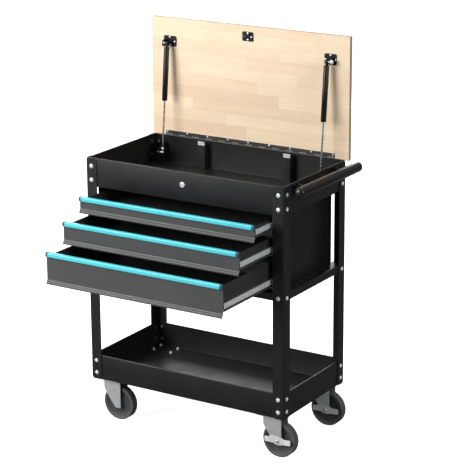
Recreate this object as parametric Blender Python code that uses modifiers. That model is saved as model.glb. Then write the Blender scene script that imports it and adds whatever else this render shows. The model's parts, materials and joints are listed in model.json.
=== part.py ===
"""Service cart: a wooden lid on gas struts, three drawers, an open bottom shelf and four swivel casters.

Metres. The origin is the middle of the bottom shelf's floor, on its upper face. +X points to the end with the
push handle, -Y to the drawer fronts and +Z up. The pieces are laid out with heights above the ground, and one
empty lowers them all to the origin. The lid is modelled open and the drawers are modelled partly drawn out.
Every moving piece has its origin on the axis of its joint.
"""

import math

import bmesh
import bpy
from mathutils import Euler, Matrix, Vector

# Clearance between two pieces that rest against each other.
GAP = 0.0003
# Pressed sheet of the trays, the case and the drawers.
SHEET = 0.0012

# Frame of four angle posts.
HALF_WIDTH = 0.4045
HALF_DEPTH = 0.214
POST_BOTTOM = 0.1535
POST_TOP = 0.983
POST_FLANGE = 0.044
POST_SHEET = 0.002
POST_CHAMFER = 0.009
INNER_X = HALF_WIDTH - POST_SHEET - GAP
INNER_Y = HALF_DEPTH - POST_SHEET - GAP

# Top tray, between the posts.
TRAY_BOTTOM = 0.8785
RIM = 0.006
LOCK_ROD_X = 0.180
LOCK_ROD_Y = 0.1885
COVER_HALF = 0.017
COVER_FRONT = 0.1847
COVER_TOP = 0.968
LOCK_Z = 0.937

# Bottom shelf. Its floor's upper face is the origin's height.
SHELF_TOP = 0.246
SHELF_FLOOR = POST_BOTTOM + GAP + SHEET

# Drawer case and the rails below it.
CASE_HALF = 0.358
CASE_FRONT = -0.209
CASE_BACK = 0.198
CASE_BOTTOM = 0.580
RAIL_TOP = 0.6065
RACK_HOLES = 7
RACK_PITCH = 0.043
RACK_HOLE_RADIUS = 0.0145

# Drawers: bottom and top of the front, floor and top of the box, middle of the slides, and
# how far each is out.
DRAWERS = {
    "top": (0.8125, 0.8720, 0.8240, 0.8625, 0.8373, 0.107),
    "middle": (0.7250, 0.8060, 0.7420, 0.7965, 0.7512, 0.206),
    "bottom": (0.6080, 0.7230, 0.6300, 0.7135, 0.6368, 0.307),
}
FRONT_HALF = 0.357
BOX_HALF = 0.343
BOX_DEPTH = 0.380
SLIDE_LENGTH = 0.375
SLIDE_SHEET = 0.0012
SLIDE_WEB = 0.3495
SLIDE_SETBACK = 0.017
SLIDE_DRAWER_HEIGHT = 0.0265
SLIDE_CASE_HEIGHT = 0.030

# Lid, piano hinge and gas struts. The lid stands upright; closed, it lies on LID_OFFSET above the hinge axis.
LID_HALF = 0.4115
LID_DEPTH = 0.440
LID_THICKNESS = 0.016
HINGE_Y = 0.217
HINGE_Z = 0.9803
LID_OFFSET = 0.005
LID_EDGE = 0.0025
HINGE_HALF = 0.355
HINGE_SHEET = 0.0012
KNUCKLES = 25
BARREL_RADIUS = 0.0047
BORE_RADIUS = 0.0023
PIN_RADIUS = 0.0020
STRUT_X = 0.332
STRUT_FOOT = Vector((0.161, 0.927))
STRUT_HEAD = Vector((0.200, 1.327))
STRUT_TUBE_START = 0.192
STRUT_TUBE_LENGTH = 0.198
STRUT_TUBE_RADIUS = 0.009
STRUT_ROD_RADIUS = 0.0035
STRUT_ROD_LENGTH = 0.214
STRUT_BORE_DEPTH = 0.142
EYE_HALF = 0.0085
STUD_GAP = 0.0003
STRIKE_Z = 1.380

# Push handle.
HANDLE_X = 0.458
HANDLE_Z = 0.969
HANDLE_HALF = 0.212
HANDLE_RADIUS = 0.0185
HANDLE_ARM_Y = 0.130

# Casters.
CASTER_X = 0.339
CASTER_Y = 0.170
TRAIL = 0.029
WHEEL_RADIUS = 0.0635
WHEEL_HALF = 0.015
HUB_HALF = 0.018
LEG_INNER = 0.0185
LEG_SHEET = 0.003
LEG_BOTTOM = 0.048
CROWN_LOW = 0.143
CROWN_TOP = 0.146
PLATE_HALF_X = 0.050
PLATE_HALF_Y = 0.038
PLATE_SHEET = 0.003
AXLE_RADIUS = 0.0055
PEDAL_SHEET = 0.003
PEDAL_GAP = 0.0006

BLACK = ((0.012, 0.012, 0.013), 0.35, 0.0)
GREY = ((0.055, 0.057, 0.062), 0.35, 0.0)
CYAN = ((0.06, 0.55, 0.68), 0.30, 0.0)
WOOD = ((0.80, 0.62, 0.42), 0.45, 0.0)
STEEL = ((0.62, 0.63, 0.65), 0.28, 1.0)
ZINC = ((0.70, 0.71, 0.73), 0.35, 1.0)
HINGE_METAL = ((0.16, 0.16, 0.17), 0.40, 1.0)
RUBBER = ((0.075, 0.077, 0.082), 0.60, 0.0)

AXIS_TURNS = {"X": Euler((0, math.pi / 2, 0)), "Y": Euler((-math.pi / 2, 0, 0)), "Z": Euler((0, 0, 0))}


def new_collection(name):
    collection = bpy.data.collections.new(name)
    bpy.context.scene.collection.children.link(collection)
    return collection


def clear_scene():
    for thing in list(bpy.data.objects):
        bpy.data.objects.remove(thing)


clear_scene()
PARTS = new_collection("tool_cart")
CUTTERS = new_collection("cutters")


def material(thing, finish):
    """A material of the piece's own, named after it."""
    colour, roughness, metallic = finish
    made = bpy.data.materials.new(thing.name)
    made.use_nodes = True
    shader = made.node_tree.nodes["Principled BSDF"]
    shader.inputs["Base Color"].default_value = (*colour, 1.0)
    shader.inputs["Roughness"].default_value = roughness
    shader.inputs["Metallic"].default_value = metallic
    thing.data.materials.clear()
    thing.data.materials.append(made)


def from_bmesh(name, bm):
    mesh = bpy.data.meshes.new(name)
    bm.to_mesh(mesh)
    bm.free()
    thing = bpy.data.objects.new(name, mesh)
    PARTS.objects.link(thing)
    return thing


def block(name, low, high):
    """A box between two corners."""
    low, high = Vector(low), Vector(high)
    bm = bmesh.new()
    bmesh.ops.create_cube(bm, size=1.0)
    bmesh.ops.scale(bm, vec=high - low, verts=bm.verts)
    bmesh.ops.translate(bm, vec=(high + low) / 2, verts=bm.verts)
    return from_bmesh(name, bm)


def rod(name, start, axis, radius, length, segments=16):
    """A round bar from start, along +X, +Y or +Z."""
    bm = bmesh.new()
    bmesh.ops.create_cone(
        bm, cap_ends=True, segments=segments, radius1=radius, radius2=radius, depth=length
    )
    bmesh.ops.translate(bm, vec=(0, 0, length / 2), verts=bm.verts)
    bm.transform(AXIS_TURNS[axis].to_matrix().to_4x4())
    bmesh.ops.translate(bm, vec=start, verts=bm.verts)
    return from_bmesh(name, bm)


def flat(name, outline, plane, start, end):
    """A flat outline extruded from start to end along the axis that its plane leaves out."""
    curve = bpy.data.curves.new(name, "CURVE")
    curve.dimensions = "2D"
    curve.fill_mode = "BOTH"
    curve.extrude = (end - start) / 2
    spline = curve.splines.new("POLY")
    spline.points.add(len(outline) - 1)
    for point, (u, v) in zip(spline.points, outline):
        point.co = (u, v, 0, 1)
    spline.use_cyclic_u = True
    middle = (start + end) / 2
    columns = {
        "XY": (Vector((1, 0, 0)), Vector((0, 1, 0)), Vector((0, 0, 1))),
        "XZ": (Vector((1, 0, 0)), Vector((0, 0, 1)), Vector((0, -1, 0))),
        "YZ": (Vector((0, 1, 0)), Vector((0, 0, 1)), Vector((1, 0, 0))),
    }[plane]
    turn = Matrix(columns).transposed().to_4x4()
    outward = columns[2]
    turn.translation = outward * middle * (-1 if plane == "XZ" else 1)
    guide = bpy.data.objects.new(name, curve)
    bpy.context.scene.collection.objects.link(guide)
    bpy.context.view_layer.update()
    mesh = bpy.data.meshes.new_from_object(guide.evaluated_get(bpy.context.evaluated_depsgraph_get()))
    bpy.data.objects.remove(guide)
    bm = bmesh.new()
    bm.from_mesh(mesh)
    bpy.data.meshes.remove(mesh)
    bmesh.ops.remove_doubles(bm, verts=bm.verts, dist=0.00001)
    bm.transform(turn)
    bmesh.ops.recalc_face_normals(bm, faces=bm.faces)
    if bm.calc_volume(signed=True) < 0:
        bmesh.ops.reverse_faces(bm, faces=bm.faces)
    return from_bmesh(name, bm)


def bent_sheet(path, thickness):
    """The outline of a sheet bent along an open path, with the path on its left-hand face."""
    offsets = []
    for i, point in enumerate(path):
        before = Vector(path[max(i - 1, 0)])
        after = Vector(path[min(i + 1, len(path) - 1)])
        here = Vector(point)
        ways = [way.normalized() for way in (here - before, after - here) if way.length > 0]
        normals = [Vector((way.y, -way.x)) for way in ways]
        mean = sum(normals, Vector((0, 0))).normalized()
        offsets.append(here + mean * (thickness / mean.dot(normals[0])))
    return [tuple(point) for point in path] + [tuple(point) for point in reversed(offsets)]


def arc(centre, radius, start, end, steps):
    """Points on an arc, with angles in degrees."""
    angles = [math.radians(start + (end - start) * i / steps) for i in range(steps + 1)]
    return [(centre[0] + radius * math.cos(a), centre[1] + radius * math.sin(a)) for a in angles]


def turned(name, profile, axis, centre, steps=24, closed=True):
    """A profile of (radius, height) points turned about an axis. It runs down its outer side."""
    bm = bmesh.new()
    verts = [bm.verts.new((radius, 0, height)) for radius, height in profile]
    pairs = list(zip(verts, verts[1:]))
    if closed:
        pairs.append((verts[-1], verts[0]))
    for pair in pairs:
        bm.edges.new(pair)
    thing = from_bmesh(name, bm)
    thing.location = centre
    thing.rotation_euler = AXIS_TURNS[axis]
    screw = thing.modifiers.new("Turn", "SCREW")
    screw.steps = steps
    screw.render_steps = steps
    screw.use_merge_vertices = True
    screw.merge_threshold = 0.00001
    screw.use_smooth_shade = True
    return thing


def combine(target, operand, operation):
    """Joins operand to target, or cuts it out, and keeps it as a hidden cutter."""
    PARTS.objects.unlink(operand)
    CUTTERS.objects.link(operand)
    operand.name = f"{target.name}_{operation.lower()}_{len(target.modifiers)}"
    operand.hide_render = True
    operand.display_type = "WIRE"
    boolean = target.modifiers.new(operand.name, "BOOLEAN")
    boolean.object = operand
    boolean.operation = operation
    boolean.solver = "EXACT"


def add(target, *operands):
    for operand in operands:
        combine(target, operand, "UNION")


def cut(target, *operands):
    for operand in operands:
        combine(target, operand, "DIFFERENCE")


def open_box(name, low, high, open_sides, sheet=SHEET, rim=0.0):
    """A box of sheet without its open sides; a rim folds inwards round an open top."""
    low, high = Vector(low), Vector(high)
    bm = bmesh.new()
    bmesh.ops.create_cube(bm, size=1.0)
    bmesh.ops.scale(bm, vec=high - low, verts=bm.verts)
    bmesh.ops.translate(bm, vec=(high + low) / 2, verts=bm.verts)
    ways = {"top": Vector((0, 0, 1)), "front": Vector((0, -1, 0))}
    for side in open_sides:
        face = max(bm.faces, key=lambda f: f.normal.dot(ways[side]))
        if rim and side == "top":
            bmesh.ops.inset_individual(bm, faces=[face], thickness=rim)
        bmesh.ops.delete(bm, geom=[face], context="FACES")
    thing = from_bmesh(name, bm)
    solid = thing.modifiers.new("Sheet", "SOLIDIFY")
    solid.thickness = sheet
    solid.offset = -1.0
    solid.use_even_offset = True
    return thing


def set_origin(thing, point):
    """Moves the origin and leaves the piece where it is. For a piece whose mesh is at its place."""
    point = Vector(point)
    thing.data.transform(Matrix.Translation(-point))
    thing.location = point


# Frame


def chamfered(u0, u1, v0, v1, c):
    """A rectangle with all four corners cut off."""
    return [
        (u0 + c, v0),
        (u1 - c, v0),
        (u1, v0 + c),
        (u1, v1 - c),
        (u1 - c, v1),
        (u0 + c, v1),
        (u0, v1 - c),
        (u0, v0 + c),
    ]


def spread(side, near, far):
    """Two distances from the middle as a rising pair on the given side, +1 or -1."""
    return tuple(sorted((side * near, side * far)))


def post(name, side_x, side_y):
    """An angle post: one flange faces the front or back, the other faces the end."""
    u0, u1 = spread(side_x, HALF_WIDTH - POST_FLANGE, HALF_WIDTH)
    y0, y1 = spread(side_y, HALF_DEPTH - POST_SHEET, HALF_DEPTH)
    thing = flat(name, chamfered(u0, u1, POST_BOTTOM, POST_TOP, POST_CHAMFER), "XZ", y0, y1)
    v0, v1 = spread(side_y, HALF_DEPTH - POST_FLANGE, HALF_DEPTH)
    x0, x1 = spread(side_x, HALF_WIDTH - POST_SHEET, HALF_WIDTH)
    add(thing, flat(name, chamfered(v0, v1, POST_BOTTOM, POST_TOP, POST_CHAMFER), "YZ", x0, x1))
    material(thing, BLACK)


def lock_rod_cover(side):
    """A channel on the back wall that covers a lock rod."""
    x = side * LOCK_ROD_X
    back = INNER_Y - SHEET / 2
    path = [
        (x + COVER_HALF, back),
        (x + COVER_HALF, COVER_FRONT),
        (x - COVER_HALF, COVER_FRONT),
        (x - COVER_HALF, back),
    ]
    return flat("cover", bent_sheet(path[::-1], -SHEET), "XY", TRAY_BOTTOM + SHEET / 2, COVER_TOP)


def top_tray():
    """The open tray under the lid, with the covers of the two lock rods on its back wall."""
    thing = open_box(
        "top_tray",
        (-INNER_X, -INNER_Y, TRAY_BOTTOM),
        (INNER_X, INNER_Y, POST_TOP),
        ["top"],
        rim=RIM,
    )
    add(thing, lock_rod_cover(-1), lock_rod_cover(1))
    for side in (-1, 1):
        x = side * LOCK_ROD_X
        cut(
            thing,
            block(
                "rod_slot",
                (x - 0.0147, LOCK_ROD_Y - 0.0025, TRAY_BOTTOM - 0.01),
                (x + 0.0147, LOCK_ROD_Y + 0.0025, TRAY_BOTTOM + 0.01),
            ),
        )
    cut(thing, rod("lock_hole", (0, -INNER_Y - 0.01, LOCK_Z), "Y", 0.0086, 0.02, 20))
    material(thing, BLACK)


def bottom_shelf():
    thing = open_box(
        "bottom_shelf",
        (-INNER_X, -INNER_Y, POST_BOTTOM + GAP),
        (INNER_X, INNER_Y, SHELF_TOP),
        ["top"],
        rim=RIM,
    )
    material(thing, BLACK)


def drawer_case():
    thing = open_box(
        "drawer_case",
        (-CASE_HALF, CASE_FRONT, CASE_BOTTOM),
        (CASE_HALF, CASE_BACK, TRAY_BOTTOM - 0.001),
        ["front", "top"],
    )
    material(thing, BLACK)


def front_rail():
    """The rail between the front posts, under the bottom drawer."""
    path = [
        (-INNER_Y + 0.0015, RAIL_TOP),
        (-INNER_Y, RAIL_TOP),
        (-INNER_Y, CASE_BOTTOM),
        (CASE_FRONT - 0.0004, CASE_BOTTOM),
    ]
    thing = flat("front_rail", bent_sheet(path, -SHEET), "YZ", -INNER_X, INNER_X)
    material(thing, BLACK)


def side_rack(name, side):
    """The rail between a front and a rear post, whose top flange holds hand tools in a row of holes."""
    edge = side * INNER_X
    inner = side * (CASE_HALF + 0.0006)
    path = [(edge, CASE_BOTTOM), (edge, RAIL_TOP), (inner, RAIL_TOP)]
    outline = bent_sheet(path, side * -SHEET)
    thing = flat(name, outline, "XZ", CASE_FRONT + 0.0004, INNER_Y - 0.0005)
    for i in range(RACK_HOLES):
        y = (i - (RACK_HOLES - 1) / 2) * RACK_PITCH
        x = side * (INNER_X + CASE_HALF) / 2
        cut(thing, rod("hole", (x, y, RAIL_TOP - 0.01), "Z", RACK_HOLE_RADIUS, 0.02, 16))
    material(thing, BLACK)


def push_handle():
    """A round bar on two arms whose feet are bolted to the side of the top tray."""
    r = HANDLE_RADIUS
    end = HANDLE_HALF - r
    dome = arc((0, end), r, 90, 0, 4) + arc((0, -end), r, 0, -90, 4)
    thing = turned("push_handle", dome, "Y", (HANDLE_X, 0, HANDLE_Z), 20, closed=False)
    for side in (-1, 1):
        y = side * HANDLE_ARM_Y
        foot = (HALF_WIDTH - POST_SHEET, y - 0.016, HANDLE_Z - 0.030)
        arm = (HALF_WIDTH - 0.0005, y - 0.003, HANDLE_Z - 0.010)
        add(
            thing,
            block("foot", foot, (HALF_WIDTH, y + 0.016, HANDLE_Z + 0.010)),
            block("arm", arm, (HANDLE_X, y + 0.003, HANDLE_Z + 0.006)),
        )
    material(thing, BLACK)


# Lid and hinge


def knuckle_span(i):
    step = 2 * HINGE_HALF / KNUCKLES
    return -HINGE_HALF + i * step + GAP / 2, -HINGE_HALF + (i + 1) * step - GAP / 2


def knuckle(x0, x1):
    profile = [(BORE_RADIUS, x1 - x0), (BARREL_RADIUS, x1 - x0), (BARREL_RADIUS, 0), (BORE_RADIUS, 0)]
    return turned("knuckle", profile, "X", (x0, HINGE_Y, HINGE_Z), 12)


def hinge_leaf_tray():
    """The fixed leaf, screwed to the back of the tray's rear wall."""
    face = HINGE_Y - BARREL_RADIUS
    clear = BARREL_RADIUS + 0.0005
    thing = block(
        "hinge_leaf_tray",
        (-HINGE_HALF, face, HINGE_Z - 0.022),
        (HINGE_HALF, face + HINGE_SHEET, HINGE_Z - clear),
    )
    for i in range(0, KNUCKLES, 2):
        x0, x1 = knuckle_span(i)
        neck = block("neck", (x0, face, HINGE_Z - 0.010), (x1, face + HINGE_SHEET, HINGE_Z - 0.0002))
        add(thing, neck, knuckle(x0, x1))
    material(thing, HINGE_METAL)


def hinge_leaf_lid():
    """The moving leaf, screwed to the underside of the lid."""
    face = HINGE_Y + LID_OFFSET - GAP
    clear = BARREL_RADIUS + 0.0005
    thing = block(
        "hinge_leaf_lid",
        (-HINGE_HALF, face - HINGE_SHEET, HINGE_Z + clear),
        (HINGE_HALF, face, HINGE_Z + 0.018),
    )
    for i in range(1, KNUCKLES, 2):
        x0, x1 = knuckle_span(i)
        neck = block("neck", (x0, face - HINGE_SHEET, HINGE_Z + 0.0002), (x1, face, HINGE_Z + 0.010))
        add(thing, neck, knuckle(x0, x1))
    set_origin(thing, (0, HINGE_Y, HINGE_Z))
    material(thing, HINGE_METAL)


def hinge_pin():
    start = (-HINGE_HALF + 0.0005, HINGE_Y, HINGE_Z)
    thing = rod("hinge_pin", start, "X", PIN_RADIUS, 2 * HINGE_HALF - 0.001, 12)
    material(thing, STEEL)


def lid_board():
    under = HINGE_Y + LID_OFFSET
    low = HINGE_Z - LID_EDGE
    thing = block(
        "lid_board",
        (-LID_HALF, under, low),
        (LID_HALF, under + LID_THICKNESS, low + LID_DEPTH),
    )
    set_origin(thing, (0, HINGE_Y, HINGE_Z))
    bevel = thing.modifiers.new("Edges", "BEVEL")
    bevel.width = 0.0015
    bevel.segments = 1
    material(thing, WOOD)


def lid_strike():
    """The plate that the lock's hook holds, with a tongue whose lip points to the front of the closed lid."""
    face = HINGE_Y + LID_OFFSET - GAP
    plate = chamfered(-0.0225, 0.0225, STRIKE_Z - 0.017, STRIKE_Z + 0.017, 0.004)
    thing = flat("lid_strike", plate, "XZ", face - 0.002, face)
    tongue_z = STRIKE_Z + 0.0075
    tip = face - 0.0295
    add(
        thing,
        block("tongue", (-0.009, tip, tongue_z), (0.009, face - 0.001, tongue_z + 0.002)),
        block("lip", (-0.005, tip, tongue_z + 0.001), (0.005, tip + 0.002, tongue_z + 0.0085)),
    )
    set_origin(thing, (0, HINGE_Y, HINGE_Z))
    material(thing, BLACK)


# Gas struts


def strut_direction():
    way = STRUT_HEAD - STRUT_FOOT
    return way.length, math.atan2(way.x, way.y)


def eye_and_stud(side):
    """Where the eye ends and where the plate beside it starts, along X."""
    eye = side * (STRUT_X + EYE_HALF)
    plate = side * (STRUT_X + EYE_HALF + 0.0045)
    return eye, plate


def stud(side, y, z, nut_radius):
    """The stud of a strut's pivot, from just outside the eye, through the plate, to its nut."""
    eye, plate = eye_and_stud(side)
    start, end = sorted((eye + side * STUD_GAP, plate + side * 0.005))
    nut_start, nut_end = sorted((plate + side * 0.002, plate + side * 0.0085))
    return (
        rod("stud", (start, y, z), "X", 0.004, end - start, 12),
        rod("nut", (nut_start, y, z), "X", nut_radius, nut_end - nut_start, 12),
    )


def strut_foot(name, side):
    """The bracket on the tray's back wall that carries the strut's lower stud."""
    _, plate = eye_and_stud(side)
    x0, x1 = sorted((plate, plate + side * 0.0025))
    back = INNER_Y - SHEET - GAP
    outline = [(0.150, 0.889), (back, 0.889), (back, 0.958), (0.184, 0.953), (0.150, 0.936)]
    thing = flat(name, outline, "YZ", x0, x1)
    f0, f1 = sorted((plate + side * 0.0005, plate + side * 0.030))
    add(thing, block("flange", (f0, back - 0.0025, 0.889), (f1, back, 0.958)))
    add(thing, *stud(side, *STRUT_FOOT, 0.006))
    material(thing, BLACK)


def strut_bracket(name, side):
    """The plate on the lid that carries the strut's upper stud."""
    _, plate = eye_and_stud(side)
    face = HINGE_Y + LID_OFFSET - GAP
    z = STRUT_HEAD.y
    x0, x1 = spread(side, STRUT_X - 0.028, STRUT_X + 0.028)
    thing = flat(name, chamfered(x0, x1, z - 0.018, z + 0.031, 0.006), "XZ", face - 0.002, face)
    t0, t1 = sorted((plate, plate + side * 0.0025))
    tab = chamfered(STRUT_HEAD.x - 0.010, face - 0.0005, z - 0.012, z + 0.012, 0.003)
    add(thing, flat("tab", tab, "YZ", t0, t1))
    add(thing, *stud(side, *STRUT_HEAD, 0.008))
    set_origin(thing, (0, HINGE_Y, HINGE_Z))
    material(thing, BLACK)


def strut_rod(name, side):
    """The strut's rod, with the eye that pivots on the lower stud. Its own +Z runs up the strut."""
    _, tilt = strut_direction()
    thing = rod(name, (0, 0, 0.004), "Z", STRUT_ROD_RADIUS, STRUT_ROD_LENGTH - 0.004, 12)
    eye = rod("eye", (-EYE_HALF, 0, 0), "X", 0.0075, 2 * EYE_HALF, 16)
    collar = rod("collar", (0, 0, 0.003), "Z", 0.0055, 0.016, 12)
    add(thing, eye, collar)
    place = Matrix.Translation((side * STRUT_X, *STRUT_FOOT)) @ Matrix.Rotation(-tilt, 4, "X")
    for piece in (thing, eye, collar):
        piece.matrix_world = place
    material(thing, STEEL)


def strut_tube(name, side):
    """The strut's cylinder, open at its lower end for the rod, with the eye for the lid's stud."""
    length, tilt = strut_direction()
    low = STRUT_TUBE_START
    high = low + STRUT_TUBE_LENGTH
    bore = STRUT_ROD_RADIUS + 0.0004
    r = STRUT_TUBE_RADIUS
    profile = [
        (0, high),
        (r - 0.001, high),
        (r, high - 0.002),
        (r, low + 0.002),
        (r - 0.001, low),
        (bore, low),
        (bore, low + STRUT_BORE_DEPTH),
        (0, low + STRUT_BORE_DEPTH),
    ]
    thing = turned(name, profile, "Z", (0, 0, 0), 20, closed=False)
    eye = rod("eye", (-EYE_HALF, 0, length), "X", 0.0075, 2 * EYE_HALF, 16)
    neck = rod("neck", (0, 0, high - 0.002), "Z", 0.005, length - high, 12)
    add(thing, eye, neck)
    place = Matrix.Translation((side * STRUT_X, *STRUT_FOOT)) @ Matrix.Rotation(-tilt, 4, "X")
    for piece in (thing, eye, neck):
        piece.matrix_world = place
    material(thing, BLACK)


# Lock


def lock_housing():
    """The lock's bezel and barrel, through the middle of the tray's front wall."""
    wall = INNER_Y + GAP
    profile = [
        (0.0056, -wall + 0.0110),
        (0.0080, -wall + 0.0110),
        (0.0080, -wall),
        (0.0105, -wall),
        (0.0105, -wall - 0.0020),
        (0.0088, -wall - 0.0036),
        (0.0056, -wall - 0.0036),
    ]
    thing = turned("lock_housing", profile, "Y", (0, 0, LOCK_Z), 24)
    material(thing, STEEL)


def lock_plug():
    """The plug with its key slot, and the hook on its inner end that turns under the lid's strike."""
    hook_front, hook_back = -0.1966, -0.1946
    front = -INNER_Y - 0.0030
    thing = rod("lock_plug", (0, front, LOCK_Z), "Y", 0.0052, hook_back - front, 20)
    centre = (0, LOCK_Z)
    outline = arc(centre, 0.0262, 240, 165, 8) + arc(centre, 0.0222, 165, 222, 6)
    outline += arc(centre, 0.0070, 200, -70, 10)
    add(thing, flat("hook", outline, "XZ", hook_front, hook_back))
    slot_low = (-0.0032, front - 0.007, LOCK_Z - 0.0008)
    slot_high = (0.0032, front + 0.007, LOCK_Z + 0.0008)
    cut(thing, block("key_slot", slot_low, slot_high))
    set_origin(thing, (0, -INNER_Y, LOCK_Z))
    material(thing, STEEL)


def lock_rod(name, side):
    """The bar that the closing lid pushes down behind the drawers. It has a notch for each drawer."""
    x = side * LOCK_ROD_X
    thing = block(name, (x - 0.014, LOCK_ROD_Y - 0.002, 0.640), (x + 0.014, LOCK_ROD_Y + 0.002, 0.981))
    for *_, slide_z, _ in DRAWERS.values():
        notch_low = (x - 0.02, LOCK_ROD_Y - 0.01, slide_z)
        notch_high = (x - 0.008, LOCK_ROD_Y + 0.01, slide_z + 0.010)
        cut(thing, block("notch", notch_low, notch_high))
    set_origin(thing, (x, LOCK_ROD_Y, TRAY_BOTTOM))
    material(thing, ZINC)


# Drawers


def drawer_front_section(low, high, face):
    """The front's bent sheet in the YZ plane: flat, then curled outwards along its bottom edge."""
    path = [(face, high - 0.003), (face, low + 0.017)]
    path += arc((face - 0.008, low + 0.017), 0.008, 0, -50, 4)[1:]
    path += arc((face - 0.0005, low + 0.004), 0.0062, 140, 180, 3)
    path += [(face - 0.0067, low)]
    return bent_sheet(path, -SHEET)


def pull_section(top, face):
    """The trim clipped over the front's top edge, as an outline in the YZ plane."""
    inner = face + SHEET + GAP
    outline = [
        (face - GAP, top - 0.017),
        (face - GAP, top - 0.0027),
        (inner, top - 0.0027),
        (inner, top - 0.0085),
        (inner + 0.0025, top - 0.0085),
        (inner + 0.0025, top),
        (face - 0.0045, top),
    ]
    outline += arc((face - 0.0045, top - 0.0045), 0.0045, 90, 180, 3)[1:]
    outline += arc((face - 0.0045, top - 0.0125), 0.0045, 180, 270, 3)
    return outline


def drawer(label, low, high, floor, box_top, slide_z, opening):
    """The box with its front in one piece, and the trim on the front. Their origin is on the front's face."""
    name = f"drawer_{label}"
    face = -HALF_DEPTH - opening
    thing = open_box(
        name,
        (-BOX_HALF, face + SHEET / 2, floor),
        (BOX_HALF, face + BOX_DEPTH, box_top),
        ["top"],
        sheet=0.001,
    )
    add(thing, flat("front", drawer_front_section(low, high, face), "YZ", -FRONT_HALF, FRONT_HALF))
    material(thing, GREY)
    reach = FRONT_HALF - 0.001
    pull = flat(f"drawer_pull_{label}", pull_section(high, face), "YZ", -reach, reach)
    material(pull, CYAN)
    for piece in (thing, pull):
        set_origin(piece, (0, face, slide_z))


def slide_outline(web, lip, height, z):
    """A channel in the XZ plane with its web at x = web and its lips reaching x = lip."""
    half = height / 2
    path = [(lip, z - half), (web, z - half), (web, z + half), (lip, z + half)]
    turn = 1 if lip > web else -1
    return bent_sheet(path, turn * SLIDE_SHEET)


def drawer_slides(label, z, opening):
    """One channel on the case and one on the drawer, at each end of the drawer."""
    for side, word in ((-1, "left"), (1, "right")):
        on_case = side * (CASE_HALF - SHEET - GAP)
        on_box = side * (BOX_HALF + GAP)
        case_start = CASE_FRONT + 0.002
        outer = flat(
            f"slide_case_{label}_{word}",
            slide_outline(on_case, on_case - side * 0.0080, SLIDE_CASE_HEIGHT, z),
            "XZ",
            case_start,
            case_start + SLIDE_LENGTH,
        )
        start = -HALF_DEPTH - opening + SLIDE_SETBACK
        inner = flat(
            f"slide_drawer_{label}_{word}",
            slide_outline(side * SLIDE_WEB, on_box, SLIDE_DRAWER_HEIGHT, z),
            "XZ",
            start,
            start + SLIDE_LENGTH,
        )
        set_origin(inner, (on_box, start, z))
        for channel in (outer, inner):
            material(channel, ZINC)


# Casters


def caster_plate(name, x, y):
    """The top plate, bolted under the shelf, with the fixed half of the swivel race."""
    top = POST_BOTTOM
    low = top - PLATE_SHEET
    thing = block(name, (x - PLATE_HALF_X, y - PLATE_HALF_Y, low), (x + PLATE_HALF_X, y + PLATE_HALF_Y, top))
    add(thing, rod("race", (x, y, low - 0.0009), "Z", 0.027, 0.0020, 24))
    material(thing, ZINC)


def fork_leg_outline(x):
    """A leg in the XZ plane: upright at the axle's side, slanting in from its wide top at the other."""
    axle_x = x + TRAIL
    top = CROWN_TOP - 0.0015
    return [
        (axle_x - 0.0085, LEG_BOTTOM),
        (axle_x + 0.0150, LEG_BOTTOM),
        (axle_x + 0.0150, top),
        (x - 0.0293, top),
        (x - 0.0293, 0.1180),
        (x - 0.0164, 0.0994),
    ]


def caster_fork(name, x, y, braked):
    """The swivelling fork: its race, its crown, its two legs and the axle bolt between them."""
    outer = LEG_INNER + LEG_SHEET
    axle_x = x + TRAIL
    reach = outer - 0.0005
    thing = block(name, (x - 0.0290, y - reach, CROWN_LOW), (axle_x + 0.0147, y + reach, CROWN_TOP))
    add(thing, rod("race", (x, y, CROWN_TOP - 0.0005), "Z", 0.031, 0.0038, 24))
    for side in (-1, 1):
        y0, y1 = spread(side, LEG_INNER, outer)
        add(thing, flat("leg", fork_leg_outline(x), "XZ", y + y0, y + y1))
    add(thing, block("web", (x - 0.0297, y - reach, 0.112), (x - 0.0263, y + reach, CROWN_LOW + 0.001)))
    near = outer + (PEDAL_GAP + PEDAL_SHEET + PEDAL_GAP if braked else 0.0)
    head = near + 0.0045
    axle_start = (axle_x, y - near - 0.001, WHEEL_RADIUS)
    add(thing, rod("axle", axle_start, "Y", AXLE_RADIUS, near + outer + 0.002, 16))
    add(thing, rod("head", (axle_x, y - head, WHEEL_RADIUS), "Y", 0.0085, 0.0045, 6))
    add(thing, rod("nut", (axle_x, y + outer - 0.0005, WHEEL_RADIUS), "Y", 0.0085, 0.0055, 6))
    set_origin(thing, (x, y, 0))
    material(thing, ZINC)


def caster_wheel(name, x, y):
    """A solid wheel with a raised hub, a sunk web and a flat tread with crisp shoulders."""
    half_profile = [
        (0.0060, HUB_HALF),
        (0.0130, HUB_HALF),
        (0.0155, 0.0110),
        (0.0440, 0.0105),
        (0.0490, 0.0140),
        (0.0612, WHEEL_HALF),
        (WHEEL_RADIUS, WHEEL_HALF - 0.0025),
    ]
    profile = half_profile + [(radius, -height) for radius, height in reversed(half_profile)]
    thing = turned(name, profile, "Y", (x + TRAIL, y, WHEEL_RADIUS), 28)
    material(thing, RUBBER)


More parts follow.
